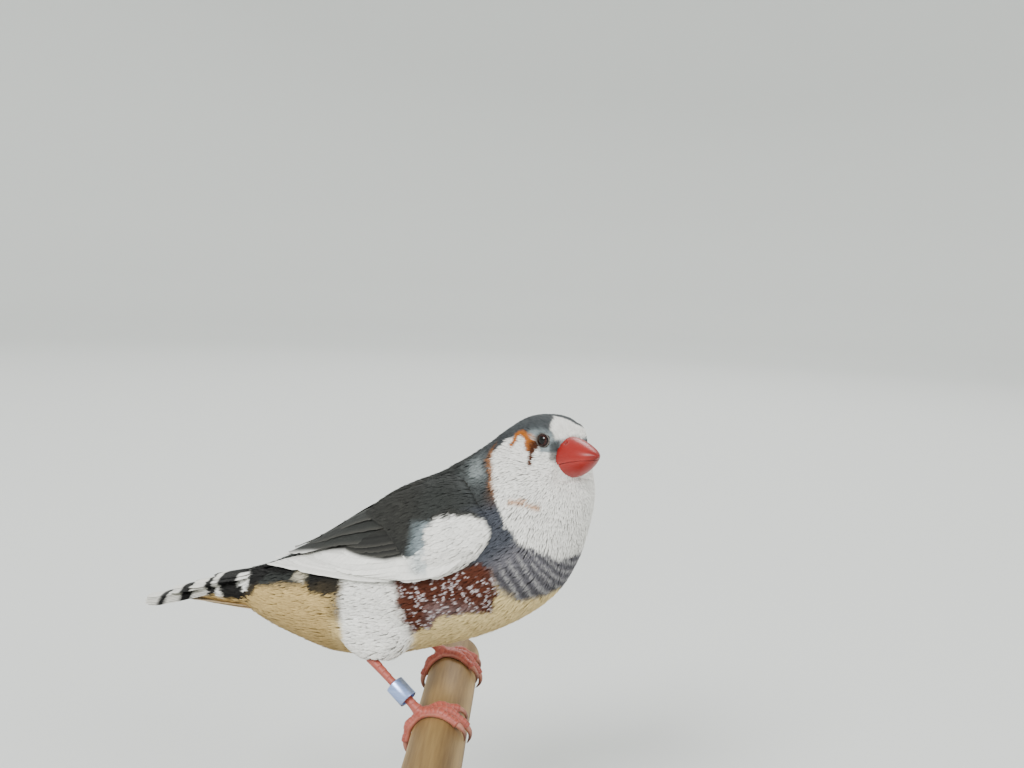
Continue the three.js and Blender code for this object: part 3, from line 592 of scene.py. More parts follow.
def plumage(share, angle, straight):
    """The coat's colour at places of the body, and how much of the chestnut's spots and of the
    breast's bars a feather there carries."""
    x, y, z = straight[:, 0], np.abs(straight[:, 1]), straight[:, 2]
    on_head, on_body = share > 0.6, share < 0.6
    below = smooth(angle, 86, 96) * (1 - smooth(share, 0.5, 0.53)) * smooth(angle, 104, 116)
    side_grey = smooth(share, 0.355, 0.385) * between(angle, 52, 66, 108, 122)
    to_grey = share - curve(GREY_START, angle)
    breast = smooth(to_grey, -0.008, 0.008) * smooth(angle, 92, 108) * on_body
    flank = inside(CHESTNUT_FLANK, x, z, 0.6) * smooth(y, 6, 9)
    low_flank = (1 - smooth(z, 21.5, 25)) * between(x, -4, -1, 7, 10)
    thigh = inside(WHITE_THIGH, x, z, 1.1) * smooth(angle, 60, 70) * smooth(y, 4, 7)
    black = np.maximum(inside(BLACK_FLANK, x, z, 0.5) * smooth(y, 5, 8), inside(BLACK_RUMP, x, z, 0.4))
    neck_patch = np.exp(-(((x - 6.4) / 2.6) ** 2 + ((z - 51.4) / 2.6) ** 2)) * smooth(y, 2, 5)
    to_white = share - curve(WHITE_START, angle)
    white = smooth(to_white, -0.006, 0.006) * (1 - smooth(z - curve(CHEEK_TOP, x), -0.35, 0.35))
    cap_width = np.where(straight[:, 1] > 0, 6.2, 4.4)
    cap = smooth(x - curve(CAP_START, y), -0.5, 0.5) * smooth(z, 58.6, 59.4) * (share > 0.7)
    nape_line = np.exp(-((to_white - 0.003) / 0.017) ** 2) * between(angle, 20, 30, 46, 66)
    side = smooth(y, 3, 5) * on_head
    bill_edge = smooth(x, 27.3, 28) * smooth(y, 3, 3.8) * between(z, 54, 55, 58.2, 59)
    colour = laid_over(
        MANTLE,
        (NAPE, smooth(share, 0.36, 0.5)),
        (CROWN, smooth(share, 0.6, 0.75)),
        (LORE, smooth(x, 21.5, 23.5) * (1 - smooth(z, 59.8, 61.4)) * on_head),
        (CREAM, below),
        (VENT, (1 - smooth(share, 0.15, 0.19)) * smooth(angle, 66, 80)),
        (NECK_SIDE, side_grey * on_body),
        (BREAST, breast),
        (BREAST_BAR, 0.5 * breast * (1 - smooth(to_grey, 0.006, 0.03))),
        (CHESTNUT, flank),
        (LILAC, 0.38 * flank * low_flank),
        (WHITE, thigh),
        (BLACK, 0.95 * black),
        (PALE_RUMP, inside(PALE_RUMP_PATCH, x, z, 0.5) * smooth(y, 4, 7)),
        (bar_colours(x, z), (1 - smooth(x, -47, -46)) * smooth(z, 16.3, 17.3)),
        (WHITE, inside(WHITE_OVAL, x, z, 0.4) * smooth(y, 1.5, 2.5)),
        (NECK_PATCH, 0.6 * neck_patch),
        (WHITE, white),
        (WHITE, cap * (1 - smooth(y - cap_width, -0.5, 0.4))),
        (OCHRE, 0.95 * nape_line),
        (ORANGE, near_line(EAR_ARCH, x, z, 0.66) * side),
        (TEAR, near_line(TEAR_MARK, x, z, 0.62) * side),
        (TAN, 0.8 * near_line(NECK_BAR, x, z, 0.5, 0.5) * smooth(y, 6, 9)),
        (BLACK, 0.75 * bill_edge),
    )
    return colour, flank * (1 - thigh), breast * (1 - white) * smooth(angle, 100, 116)


# Ground: a surface that feathers grow on

class Ground:
    """A surface in the bird's frame, with what each face knows of the coat that grows there."""

    def __init__(self, points, faces):
        self.points, self.faces = points, faces
        self.tree = BVHTree.FromPolygons(points.tolist(), faces.tolist())
        corners = points[faces]
        self.centres = corners.mean(1)
        cross = np.cross(corners[:, 2] - corners[:, 0], corners[:, 3] - corners[:, 1])
        self.areas = np.linalg.norm(cross, axis=1) / 2
        at_points = np.zeros_like(points)
        for corner in faces.T:
            np.add.at(at_points, corner, cross)
        self.point_normals = unit(at_points)
        self.normals = unit(self.point_normals[faces].mean(1))
        self.share, self.angle, self.straight = body_places(self.centres)
        # The place along the bird, which runs on below 0 over the tail's flesh
        self.run = self.share + np.minimum(self.centres[:, 0] - SECTIONS[0, 0], 0) / 120
        lie = coat_lie(self.centres, self.share, self.angle)
        self.lie = unit(lie - (lie * self.normals).sum(1)[:, None] * self.normals)

    def nearest(self, points):
        """The surface's nearest points and the faces that they are on."""
        found = [self.tree.find_nearest(point) for point in points.tolist()]
        return np.array([hit[0][:] for hit in found]), np.array([hit[2] for hit in found])

    def scatter(self, spacing, keep):
        """Faces and points spread evenly over the kept faces, the given spacing apart."""
        chance = np.where(keep, self.areas / spacing ** 2, 0)
        tries = 5  # for each place that there is room for
        picked = rng.choice(len(chance), int(chance.sum() * tries), p=chance / chance.sum())
        mix = rng.random((len(picked), 2))
        corners = self.points[self.faces[picked]]
        near = corners[:, 0] + mix[:, :1] * (corners[:, 1] - corners[:, 0])
        far = corners[:, 3] + mix[:, :1] * (corners[:, 2] - corners[:, 3])
        points = near + mix[:, 1:] * (far - near)
        chosen = thinned(points, spacing[picked])
        return picked[chosen], points[chosen]


def tree_of(points):
    places = KDTree(len(points))
    for i, point in enumerate(points.tolist()):
        places.insert(point, i)
    places.balance()
    return places


def thinned(points, gaps):
    """Keeps points in turn and drops those that come closer than the gap."""
    places = tree_of(points)
    free = np.ones(len(points), bool)
    chosen = []
    for i, (point, gap) in enumerate(zip(points.tolist(), gaps.tolist())):
        if free[i]:
            chosen.append(i)
            for _, j, _ in places.find_range(point, gap):
                free[j] = False
    return np.array(chosen)


# Small feathers: each tuft is a thin vane with a pointed root and tip and three rings between

TUFT_PATCH = 0.003  # of the bake map
TUFT_LENGTH = 7.2  # in gaps between tufts, as is the size of a whole feather
FEATHER = 4.2
ROOT_DEPTH = 0.15
TUFT_ALONG = np.array((0, 0.3, 0.62, 0.87, 1))
TUFT_RISE = (0.5, 0.84, 0.97, 1)
TUFT_WIDTH = 0.62 * np.array((0.72, 1, 0.66))
# Each ring's tone, darker towards the root: painted shade where the tufts lie under one another
TUFT_PAINTED_SHADE = np.array((0.84, 0.98, 1))
RING_ACROSS = np.array((-1, 0, 1, 0))
RING_RISE = np.array((0, 0.16, 0, -0.2))
BODY_RUN = 95  # from the tail's root to the crown


def off_eye(points, side):
    """How far points lie along an eye's axis and off it, and the axis, the way that it looks: out of
    the side of the head, a little forward and up."""
    axis = spun(unit(np.array((3.4, side * 12, 1.2))), HEAD_TURN)
    offset = points - turned((EYE[0], side * EYE[1], EYE[2]))
    ahead = (offset * axis).sum(-1)
    return ahead, np.linalg.norm(offset - ahead[..., None] * axis, axis=-1), axis


def clear_of_eyes(lines):
    """Which feathers keep clear of both eyes' openings."""
    free = np.ones(len(lines), bool)
    for side in (1, -1):
        ahead, aside, _ = off_eye(lines, side)
        free &= ~((aside < LID_RADIUS + 0.05) & (ahead > 0)).any(1)
    return free


def round_eyes(points):
    """Brings the skin round each eye to just under the rim of its lids."""
    for side in (1, -1):
        ahead, aside, axis = off_eye(points, side)
        wanted = LID_HEIGHT - 0.3 - 0.5 * (1 - smooth(aside, 1.1, 1.5))
        share = (1 - smooth(aside, 2, 3.6)) * (ahead > -0.5)
        points = points + (share * (wanted - ahead))[:, None] * axis
    return points


def lobes(ground, faces, points, size):
    """Groups tufts into whole feathers of about the given size. Returns each tuft's group, and its
    place in it along and across the lie, as shares of the size."""
    order = rng.permutation(len(points))
    centres = order[thinned(points[order], size[order] * 0.92)]
    places = tree_of(points[centres])
    group = np.array([places.find(point)[1] for point in points.tolist()])
    offset = (points - points[centres[group]]) / size[:, None]
    lie = ground.lie[faces]
    side = np.cross(ground.normals[faces], lie)
    return group, (offset * lie).sum(1), (offset * side).sum(1)


def uneven(stations, group, gap):
    """The places whose markings the feathers carry: a little off their own, so that borders fray."""
    whole = rng.normal(0, 1, (group.max() + 1, 1, 3))[group]
    own = rng.normal(0, 1, (len(stations), 1, 3))
    return stations + (0.7 * whole + 0.3 * own) * gap[:, None, None]


def body_colours(stations, gap, group, ahead, aside):
    """The body's colours on each tuft's stations, with the flank's spots and the breast's bars."""
    shape = stations.shape
    tone, flank, breast = plumage(*body_places(uneven(stations, group, gap).reshape(-1, 3)))
    tone, flank, breast = tone.reshape(shape), flank.reshape(shape[:2]), breast.reshape(shape[:2])
    run = BODY_RUN * body_places(stations.reshape(-1, 3))[0].reshape(shape[:2])
    spotted = rng.random(group.max() + 1)[group] < 0.72
    reach = ahead[:, None] + TUFT_ALONG[1:4] * TUFT_LENGTH / FEATHER
    off_spot = np.hypot((reach - 1.5) * 0.9, (np.abs(aside) - 0.27)[:, None])
    spot = (1 - smooth(off_spot, 0.16, 0.26)) * spotted[:, None]
    rim = np.clip(smooth(ahead, 0.25, 0.5) + smooth(np.abs(aside), 0.4, 0.55), 0, 1)[:, None]
    wave = rng.random(group.max() + 1)[group][:, None]
    bars = np.sin((run + 0.3 * wave) * 2 * math.pi / BAR_SPACING)
    return laid_over(
        tone,
        (SPOT, 0.72 * spot * flank),
        (CHESTNUT * 0.6, 0.4 * rim * flank * (1 - spot)),
        (BREAST_BAR, 0.5 * breast * smooth(bars, 0.05, 0.75)),
        (WHITE, 0.2 * breast * smooth(-bars, 0.3, 0.9)),
    )


def grow_coat(name, ground, faces, points, gap, depth, colours=body_colours):
    """One piece of coat. gap is each tuft's distance from its neighbours, and depth how far its tip
    stands off the ground."""
    group, ahead, aside = lobes(ground, faces, points, gap * FEATHER)
    count = len(faces)
    length = TUFT_LENGTH * gap * rng.normal(1, 0.12, count)
    sway = 0.2 * aside + rng.normal(0, 0.08, count)
    rise = depth * (0.9 + 0.12 * ahead - 0.2 * aside ** 2) * rng.uniform(0.88, 1.05, count)
    line, normals = [points - ground.normals[faces] * ROOT_DEPTH], [ground.normals[faces]]
    place, face = points, faces
    for step, height in zip(np.diff(TUFT_ALONG), TUFT_RISE):
        lie = ground.lie[face]
        side = np.cross(ground.normals[face], lie)
        way = unit(lie + side * sway[:, None])
        place, face = ground.nearest(place + way * (step * length)[:, None])
        line.append(place + ground.normals[face] * (rise * height)[:, None])
        normals.append(ground.normals[face])
    line, normals = np.stack(line, 1), np.stack(normals, 1)
    free = clear_of_eyes(line)
    line, normals, faces, gap, group, ahead, aside, length = (
        values[free] for values in (line, normals, faces, gap, group, ahead, aside, length))
    count = len(faces)
    along = unit(line[:, 2:] - line[:, :-2])
    across = unit(np.cross(along, normals[:, 1:4]))
    up = unit(np.cross(across, along))
    half = (gap[:, None] * TUFT_WIDTH * rng.normal(1, 0.12, (count, 3)))[:, :, None]
    rings = line[:, 1:4, None] + across[:, :, None] * (half * RING_ACROSS)[..., None]
    rings = rings + up[:, :, None] * (half * RING_RISE)[..., None]
    shape = np.concatenate((line[:, :1], rings.reshape(count, -1, 3), line[:, 4:]), 1)
    tone = colours(line[:, 1:4], gap, group, ahead, aside)
    own = rng.normal(1, 0.035, count)
    own *= rng.normal(1, 0.03, group.max() + 1)[group]
    # Each feather darker at its sides and at its root end: painted shade where it tucks under its
    # neighbours
    own *= 1 - 0.09 * smooth(np.abs(aside), 0.3, 0.6) - 0.06 * smooth(-ahead, 0.2, 0.5)
    # Darker towards the root, and the root's point darker still: painted shade under the tufts that overlap
    # it
    tone = tone * own[:, None, None] * TUFT_PAINTED_SHADE[:, None]
    tone = np.concatenate((tone[:, :1] * 0.85, np.repeat(tone, 4, 1), tone[:, 2:]), 1)
    faces_of_one = tube_faces(3, 4)
    piece = add_mesh(name, shape.reshape(-1, 3), copies(faces_of_one, count, shape.shape[1]), FEATHERS)
    paint(piece, tone)
    edge = np.concatenate(((0,), np.tile(RING_ACROSS, 3), (0,)))
    station = np.concatenate(((0,), np.repeat(TUFT_ALONG[1:4], 4), (1,)))
    barb = station * length[:, None] - 1.1 * np.abs(edge) * gap[:, None]
    tag = rng.random((count, 1))
    store(piece, "vane", np.stack(np.broadcast_arrays(edge, barb, tag), -1))
    # The coat's map: the back line in the middle, the belly at both sides, and the head at the top
    run, left = ground.run[faces], np.sign(ground.straight[faces, 1])
    spread = (run - run.min()) / (np.ptp(run) + 1e-6)
    root = np.stack((0.5 + 0.48 * left * ground.angle[faces] / 180, 0.02 + 0.96 * spread), -1)
    bake_map(piece, root[:, None] + TUFT_PATCH / 2 * np.stack((edge, 2 * station - 1), -1))
    shade(piece, 62)
    wear(piece, "grey_plumage")


# The skin and the body's coat

TAIL_CORE = (
    (-43, 24.4, 13.6, 5), (-46, 24.3, 13.7, 5.2), (-49, 23, 14.1, 5), (-52, 21.6, 14.5, 4.8),
    (-56, 20.1, 14.9, 4.5), (-60, 18.6, 15.2, 3.8),
)
# The bill from the face to the tip: x, top, low and half its width
BILL_STATIONS = np.array((
    (27.6, 59.4, 50.8, 4.0), (28.6, 59.6, 50.6, 4.25), (29.6, 59.6, 50.6, 4.25), (30.8, 59.45, 51.0, 4.1),
    (32.0, 59.2, 51.5, 3.85), (33.2, 58.9, 52.3, 3.45), (34.4, 58.45, 53.2, 2.95), (35.5, 58.0, 54.25, 2.3),
    (36.4, 57.6, 55.2, 1.55), (37.1, 57.2, 56.0, 0.85), (37.5, 56.9, 56.35, 0.4),
))


def body_skin():
    """Head, neck and torso as one smooth skin, which runs on under the bill's base and into the
    tail's. Returns its full form and the sunk skin itself."""
    flesh = ("head", "neck", "torso", "eye_left", "eye_right", "bill_upper", "bill_lower")
    piece = copy_of("skin", flesh, SKIN, swell=0.32)
    turns = np.linspace(0, 2 * math.pi, 32, endpoint=False)
    rings = [np.stack((np.full(32, x), half * np.sin(turns),
                       (top + low) / 2 + (top - low) / 2 * np.cos(turns)), -1)
             for x, top, low, half in TAIL_CORE]
    only(piece, add_tube("tail_core", np.array(rings), SKIN))
    bpy.ops.object.join()
    apply_modifier(piece, "REMESH", mode="VOXEL", voxel_size=0.55 * MM)
    apply_modifier(piece, "SMOOTH", factor=0.5, iterations=32)
    faces = corner_points(piece.data).reshape(-1, 4)
    full = Ground(to_bird(coordinates(piece)), faces)
    share, angle, straight = body_places(full.points)
    in_horn = 0.7 * smooth(straight[:, 0], 28.4, 29.6) * (straight[:, 2] > 50)
    depth = coat_depth(straight) + 0.28 + in_horn
    sunk = round_eyes(full.points - full.point_normals * depth[:, None])
    settle(piece, lambda points: to_world(sunk))
    piece.data.shade_smooth()
    # The skin under the bill's base is painted near black, as shade
    paint(piece, laid_over(plumage(share, angle, straight)[0], (PAINTED_SHADE_UNDER_BILL, in_bill(straight))))
    wear(piece, "grey_plumage", "head", "neck", "torso")
    return full, Ground(sunk, faces)


def coat_depth(straight):
    """How far the coat stands off the skin: least round the bill and the eyes."""
    to_bill = np.linalg.norm(straight - BILL_BASE, axis=-1)
    to_eye = np.linalg.norm(np.abs(straight) - EYE, axis=-1)
    depth = FACE_DEPTH + (COAT_DEPTH - FACE_DEPTH) * smooth(to_bill, 5, 20)
    close = 1 - np.minimum(smooth(to_eye, 2.4, 4), smooth(to_bill, 4.5, 8))
    return depth - 0.2 * close - 0.4 * (1 - smooth(straight[:, 0], -54, -46))


def in_bill(straight):
    """Which places lie under the bill's base."""
    x, y, z = straight.T
    top, low, half = (np.interp(x, BILL_STATIONS[:, 0], sizes) for sizes in BILL_STATIONS[:, 1:].T)
    core = ((z - (top + low) / 2) / (top - low) * 2) ** 2 + (y / half) ** 2 < 0.8
    return (x > BILL_STATIONS[0, 0] + 0.3) & (core | ((x > 31.5) & (z > 50.5)))


# The angles of the folded wing's lower and upper edges round the inner line, by x
WING_LOW = ((-44, 34), (-38, 47), (-34, 56), (-28, 66), (-20, 77), (-10, 89), (-2, 94), (8, 99), (12, 89))
WING_TOP = ((-44, 0), (-20, 4), (-10, 9), (4, 30), (12, 60))


def body_coat():
    """The body's tufts, in pieces by region and smaller towards the face."""
    x, y, z = skin.centres.T
    to_bill = np.linalg.norm(skin.straight - BILL_BASE, axis=1)
    spacing = 0.16 + 0.08 * smooth(to_bill, 4, 12) + 0.14 * smooth(to_bill, 12, 30)
    polar = np.degrees(np.arctan2(np.abs(y), z - np.interp(x, *AXIS.T)))
    covered = (x > -42) & (x < 8) & (polar < curve(WING_LOW, x) - 9) & (polar > curve(WING_TOP, x) + 12)
    faces, points = skin.scatter(spacing, ~covered & ~in_bill(skin.straight))
    share, low, left = skin.share[faces], skin.angle[faces] >= 84, skin.straight[faces, 1] > 0
    regions = (
        ("face", 0.82, 1, True), ("throat_and_nape", 0.66, 0.82, True), ("neck", 0.5, 0.66, True),
        ("back", -1, 0.5, ~low), ("breast", 0.38, 0.5, low), ("left_flank", 0.2, 0.38, low & left),
        ("right_flank", 0.2, 0.38, low & ~left), ("vent", -1, 0.2, low),
    )
    for name, rear, fore, part in regions:
        member = (share > rear) & (share <= fore) & part
        own = faces[member]
        depth = coat_depth(skin.straight[own])
        grow_coat(name + "_feathers", skin, own, points[member], spacing[own], depth)


# Long feathers of the wings and the tail

ALONG = np.linspace(0, 1, 38)  # the places of a long feather's rings from root to tip
ACROSS = np.concatenate((np.linspace(-1, 1, 11), np.linspace(1, -1, 11)))  # and of a ring's points
ON_TOP = np.arange(22) < 11


def vane_faces(rows, columns):
    """The triangles of a closed vane: a row of flat rings that is closed at both ends."""
    faces = band_faces(0, rows, columns)
    last = (rows - 1) * columns
    for a in range(columns // 2 - 1):
        b, c, d = a + 1, columns - 2 - a, columns - 1 - a
        faces += [(a, d, b), (b, d, c)]
        faces += [(last + a, last + b, last + d), (last + b, last + c, last + d)]
    return np.array(faces)


def wing_place(x, angle, side):
    """The body's surface at a place along it and an angle round the wing's axis, and its normal."""
    start = Vector((x, 0, float(np.interp(x, *AXIS.T))))
    turn = math.radians(angle)
    point, _, face, _ = hull.tree.ray_cast(start, Vector((0, side * math.sin(turn), math.cos(turn))))
    return np.array(point[:]), hull.normals[face]


def quill_width(root, point):
    """The half width of a long feather along it, as a share of its widest."""
    grow = root + (1 - root) * np.sin(math.pi / 2 * np.clip(ALONG / 0.32, 0, 1))
    end = np.sqrt(np.maximum(1 - np.clip((ALONG - 0.66) / 0.34, 0, 1) ** point, 0.003))
    return grow * end


def build_quills(name, quills, colour, slot, node):
    """One piece of long feathers, each with its own shaft, normals, half width and kind."""

    def each(key, missing=0):
        return np.array([quill.get(key, missing) for quill in quills])

    count, rows, columns = len(quills), len(ALONG), len(ACROSS)
    shafts, normals = each("shaft"), each("normals")
    width = quill_width(each("root", 0.45)[:, None], each("point", 2.4)[:, None])
    half = (each("half")[:, None] * width)[:, :, None]
    along = unit(np.gradient(shafts, axis=1))
    across = unit(np.cross(along, normals))
    height = (0.17 - 0.09 * ALONG)[:, None] * (1 - 0.75 * ACROSS ** 2) * np.where(ON_TOP, 0.5, -0.5)
    rib = 0.1 * np.exp(-(ACROSS / 0.09) ** 2) * (1 - 0.7 * ALONG)[:, None] * ON_TOP
    cup = half ** 2 / each("curve", 26)[:, None, None] * ACROSS ** 2
    tilt = each("tilt")[:, None, None] * ACROSS
    # Barbs part here and there along the edges, which gives each vane small steps and splits
    edges = (count, rows, 2)
    worn = rng.normal(0, 0.02, edges)
    worn -= (rng.random(edges) > 0.94) * rng.uniform(0.05, 0.18, edges)
    worn = np.where(ACROSS < 0, worn[..., :1], worn[..., 1:])
    reach = half * ACROSS * (1 + worn * np.abs(ACROSS) ** 3)
    points = shafts[:, :, None] + across[:, :, None] * reach[..., None]
    points = points + normals[:, :, None] * (height + rib - cup + tilt)[..., None]
    points = points + along[:, :, None] * (0.55 * worn * half * ACROSS ** 2)[..., None]
    tone = colour(points, each("kind")[:, None, None]) * rng.normal(1, 0.035, (count, 1, 1, 1))
    faces = copies(vane_faces(rows, columns), count, rows * columns)
    piece = add_mesh(name, points.reshape(-1, 3), faces, FEATHERS)
    paint(piece, tone)
    length = np.linalg.norm(np.diff(shafts, axis=1), axis=2).sum(1)
    barb = ALONG[:, None] * length[:, None, None] - 1.2 * np.abs(ACROSS) * half
    tag = rng.random((count, 1, 1))
    store(piece, "vane", np.stack(np.broadcast_arrays(ACROSS, barb, tag), -1))
    # The feathers' map: one cell for each, with its upper side beside its lower one
    cells = math.ceil(math.sqrt(count))
    index = np.arange(count)[:, None, None]
    left = (index % cells + 0.5 + 0.2 * ACROSS + np.where(ON_TOP, 0.22, -0.22)) / cells
    low = (index // cells + 0.06 + 0.88 * ALONG[:, None]) / cells
    bake_map(piece, np.stack(np.broadcast_arrays(left, low), -1))
    shade(piece, 50)
    wear(piece, slot, node)


# Wings

# Each tier's feathers, with the numbers of its first and last one: x and angle of root and tip,
# half width, height off the body and sideways bow. Then how much x and angle of the tips stray
WING_TIERS = (
    (9, (2.5, 83, -42, 24, 1.9, 0.05, 15), (-5.5, 65, -27, 41, 2.4, 0.8, 6), (0.3, 0), 0.3, {}),
    (6, (-1.5, 71, -23, 61, 2.2, 0.95, 3), (-4.5, 50, -21.5, 40, 2.2, 1.25, 3), (0.3, 0), 0.3, {}),
    (3, (-7, 47, -36.3, 14, 2.9, 1.05, 3), (-6, 29, -25.9, 12, 2.9, 1.45, 1), (0.4, 0), 0.3,
     {"kind": "tertial", "root": 0.2, "point": 2.8}),
    (7, (5, 85, -8, 85, 1.3, 0.85, 0), (0, 79, -17, 73, 1.3, 0.95, 0), (0, 0.6), 0.2, {}),
    (9, (2, 84, -10.2, 78, 1.85, 1.35, 0), (-1.2, 38, -13.2, 33, 1.85, 1.35, 0), (0.4, 0), 0.2, {}),
)


def wing_marks(points, edge=0, shaft=0, tertial=0):
    """The wing's markings: a white strip along its lower edge, a white shoulder, the rest dark."""
    x, z = points[..., 0], points[..., 2]
    strip = smooth(curve(WHITE_STRIP, x) - z, -0.5, 0.5)
    blotch = np.exp(-(((x + 12) / 8) ** 2 + ((z - 34.6) / 2.6) ** 2))
    shoulder = inside(WHITE_SHOULDER, x, z, 0.45)
    pale = smooth(x, -7.5, -3.5) * (1 - shoulder) * between(z, 28.5, 31, 39.5, 41.5)
    return laid_over(
        WING_DARK,
        (WING_DARKER, 0.75 * blotch),
        (MANTLE, 0.6 * tertial),
        (WING_EDGE, 0.55 * edge),
        (WING_DARKER * 0.5, 0.7 * shaft),
        (WHITE, strip),
        (BLUE_GREY, 0.6 * pale * (x < 3)),
        (NECK_SIDE, smooth(x, 7, 10) * (1 - shoulder)),
        (WHITE, shoulder),
        (WHITE_SHAFT, 0.35 * shaft * strip),
    )


def wing_colours(points, kinds):
    """The markings on the long feathers, with paler edges and darker shafts."""
    edge = smooth(np.abs(ACROSS), 0.68, 0.95)
    shaft = 1 - smooth(np.abs(ACROSS), 0.02, 0.14)
    return wing_marks(points, edge, shaft, kinds == "tertial")


def wing(side, name, node):
    """A folded wing: primaries, secondaries and tertials, with two tiers of coverts over their roots."""
    quills = []
    for count, first, last, stray, tilt, more in WING_TIERS:
        for numbers in np.linspace(first, last, count):
            numbers[2:4] += rng.normal() * np.array(stray)
            x0, angle0, x1, angle1, half, lift, bow = numbers
            angles = angle0 + (angle1 - angle0) * ALONG + bow * np.sin(math.pi * ALONG)
            places = zip(x0 + (x1 - x0) * ALONG, np.maximum(angles, 1))
            points, normals = (np.array(found) for found in zip(*(wing_place(*at, side) for at in places)))
            for _ in range(4):
                normals[1:-1] = unit(normals[:-2] + 2 * normals[1:-1] + normals[2:])
                points[1:-1] = (points[:-2] + 2 * points[1:-1] + points[2:]) / 4
            height = 0.35 + lift * np.sin(math.pi * (0.17 + 0.68 * ALONG))
            shaft = points + normals * height[:, None]
            across = np.cross(shaft[20] - shaft[18], normals[19])
            quills.append({"shaft": shaft, "normals": normals, "half": half, "kind": "flight",
                           "tilt": -tilt * np.sign(across[2]), **more})
    build_quills(name, quills, wing_colours, "grey_plumage", node)


# The pad's outline over the wing, by x: the angles of its upper and lower edges, and its height
PAD_FRONT = 11.6
PAD_REAR = -19
PAD_TOP = ((-19, 17), (-14, 9), (-8, 8), (0, 12), (4, 25), (8, 50), (11.6, 74))
PAD_LOW = ((-19, 21), (-16, 28), (-12, 42), (-8, 62), (-4, 84), (0, 92), (4, 94), (8, 93), (11.6, 80))
PAD_HEIGHT = ((-19, 1.9), (-17, 2.4), (-12, 2.8), (-2, 2.75), (4, 2.2), (8, 1.6), (10, 1), (11.6, 0.1))
SHOULDER_TOP = ((-9, 39), (-3, 40.5), (2, 43), (7, 43), (10, 41.5), (11.5, 37))


def shoulder_pad(side):
    """The smooth fore part of the folded wing, which the coverts and scapulars grow on."""
    rows, columns = 61, 45
    sink = 0.85
    points = []
    for x in np.linspace(PAD_FRONT, PAD_REAR, rows):
        top, low = curve(PAD_TOP, x), curve(PAD_LOW, x)
        for v in np.linspace(0, 1, columns):
            above = math.sin(math.pi / 2 * min(v / (0.24 + 0.2 * smooth(x, -2, 5)), 1)) ** 0.7
            below = math.sin(math.pi / 2 * min((1 - v) / 0.3, 1)) ** 0.7
            below += (1 - below) * (1 - smooth(x, -6, 2))
            point, normal = wing_place(x, top + (low - top) * v, side)
            points.append(point + normal * (curve(PAD_HEIGHT, x) * above * below - sink))
    index = np.arange(rows * columns).reshape(rows, columns)
    corners = (index[:-1, :-1], index[:-1, 1:], index[1:, 1:], index[1:, :-1])
    return Ground(np.array(points), np.stack(corners[::side], -1).reshape(-1, 4))


def covert_colours(stations, gap, group, ahead, aside):
    """The wing's markings, which pass into the back's and the neck's above the shoulder."""
    moved = uneven(stations, group, gap)
    x, z = moved[..., 0], moved[..., 2]
    body = plumage(*body_places(moved.reshape(-1, 3)))[0].reshape(moved.shape)
    above = smooth(z - curve(SHOULDER_TOP, x), 0, 1.5) * smooth(x, -9, -2)
    rim = smooth(ahead, 0.3, 0.5) * (1 - smooth(stations[:, 1, 0], -4, 0))
    return laid_over(wing_marks(moved), (body, above)) * (1 + 0.2 * rim)[:, None, None]


def shoulder_coverts(side, name):
    """The lesser coverts over the shoulder, and the pad under them as its own closed sheet."""
    pad = shoulder_pad(side)
    sheet = add_mesh(name + "_pad", pad.points, pad.faces, SKIN)
    apply_modifier(sheet, "SOLIDIFY", thickness=0.2 * MM, offset=-1)
    paint(sheet, wing_marks(to_bird(coordinates(sheet))))
    wear(sheet, "grey_plumage")
    spacing = 0.34 + 0.06 * (1 - smooth(pad.centres[:, 0], -12, 4))
    faces, points = pad.scatter(spacing, True)
    grow_coat(name, pad, faces, points, spacing[faces], 0.5, covert_colours)


# Tail

TAIL_ROOT = np.array((-47, 21.4))
TAIL_TIP = np.array((-72.3, 14.1))
# The tiers of coverts over and under the tail: x of root and tip, how many, how far they spread,
# height of root and tip, and half width
TAIL_COVERTS = {
    "over": ((-47.5, -66, 6, 2.9, 22.2, 17.1, 1.7), (-47, -61, 6, 3.4, 22.6, 19, 1.7),
             (-46, -56, 7, 3.8, 23.2, 20.9, 1.6)),
    "under": ((-46, -63.5, 5, 2.8, 14.8, 15.5, 1.8), (-45, -57, 5, 3.2, 14.3, 15.1, 1.8)),
}


def tail_colours(points, kinds):
    """Bars above, with the rump's white oval, and buff below."""
    x, y, z = (points[..., i] for i in range(3))
    oval = inside(WHITE_OVAL, x, z, 0.4) * smooth(np.abs(y), 1.5, 2.5)
    vent = laid_over(VENT, (WHITE, 0.2 + 0.4 * smooth(-x, 52, 62)))
    return laid_over(bar_colours(x, z), (WHITE, oval), (vent, kinds == "under"))


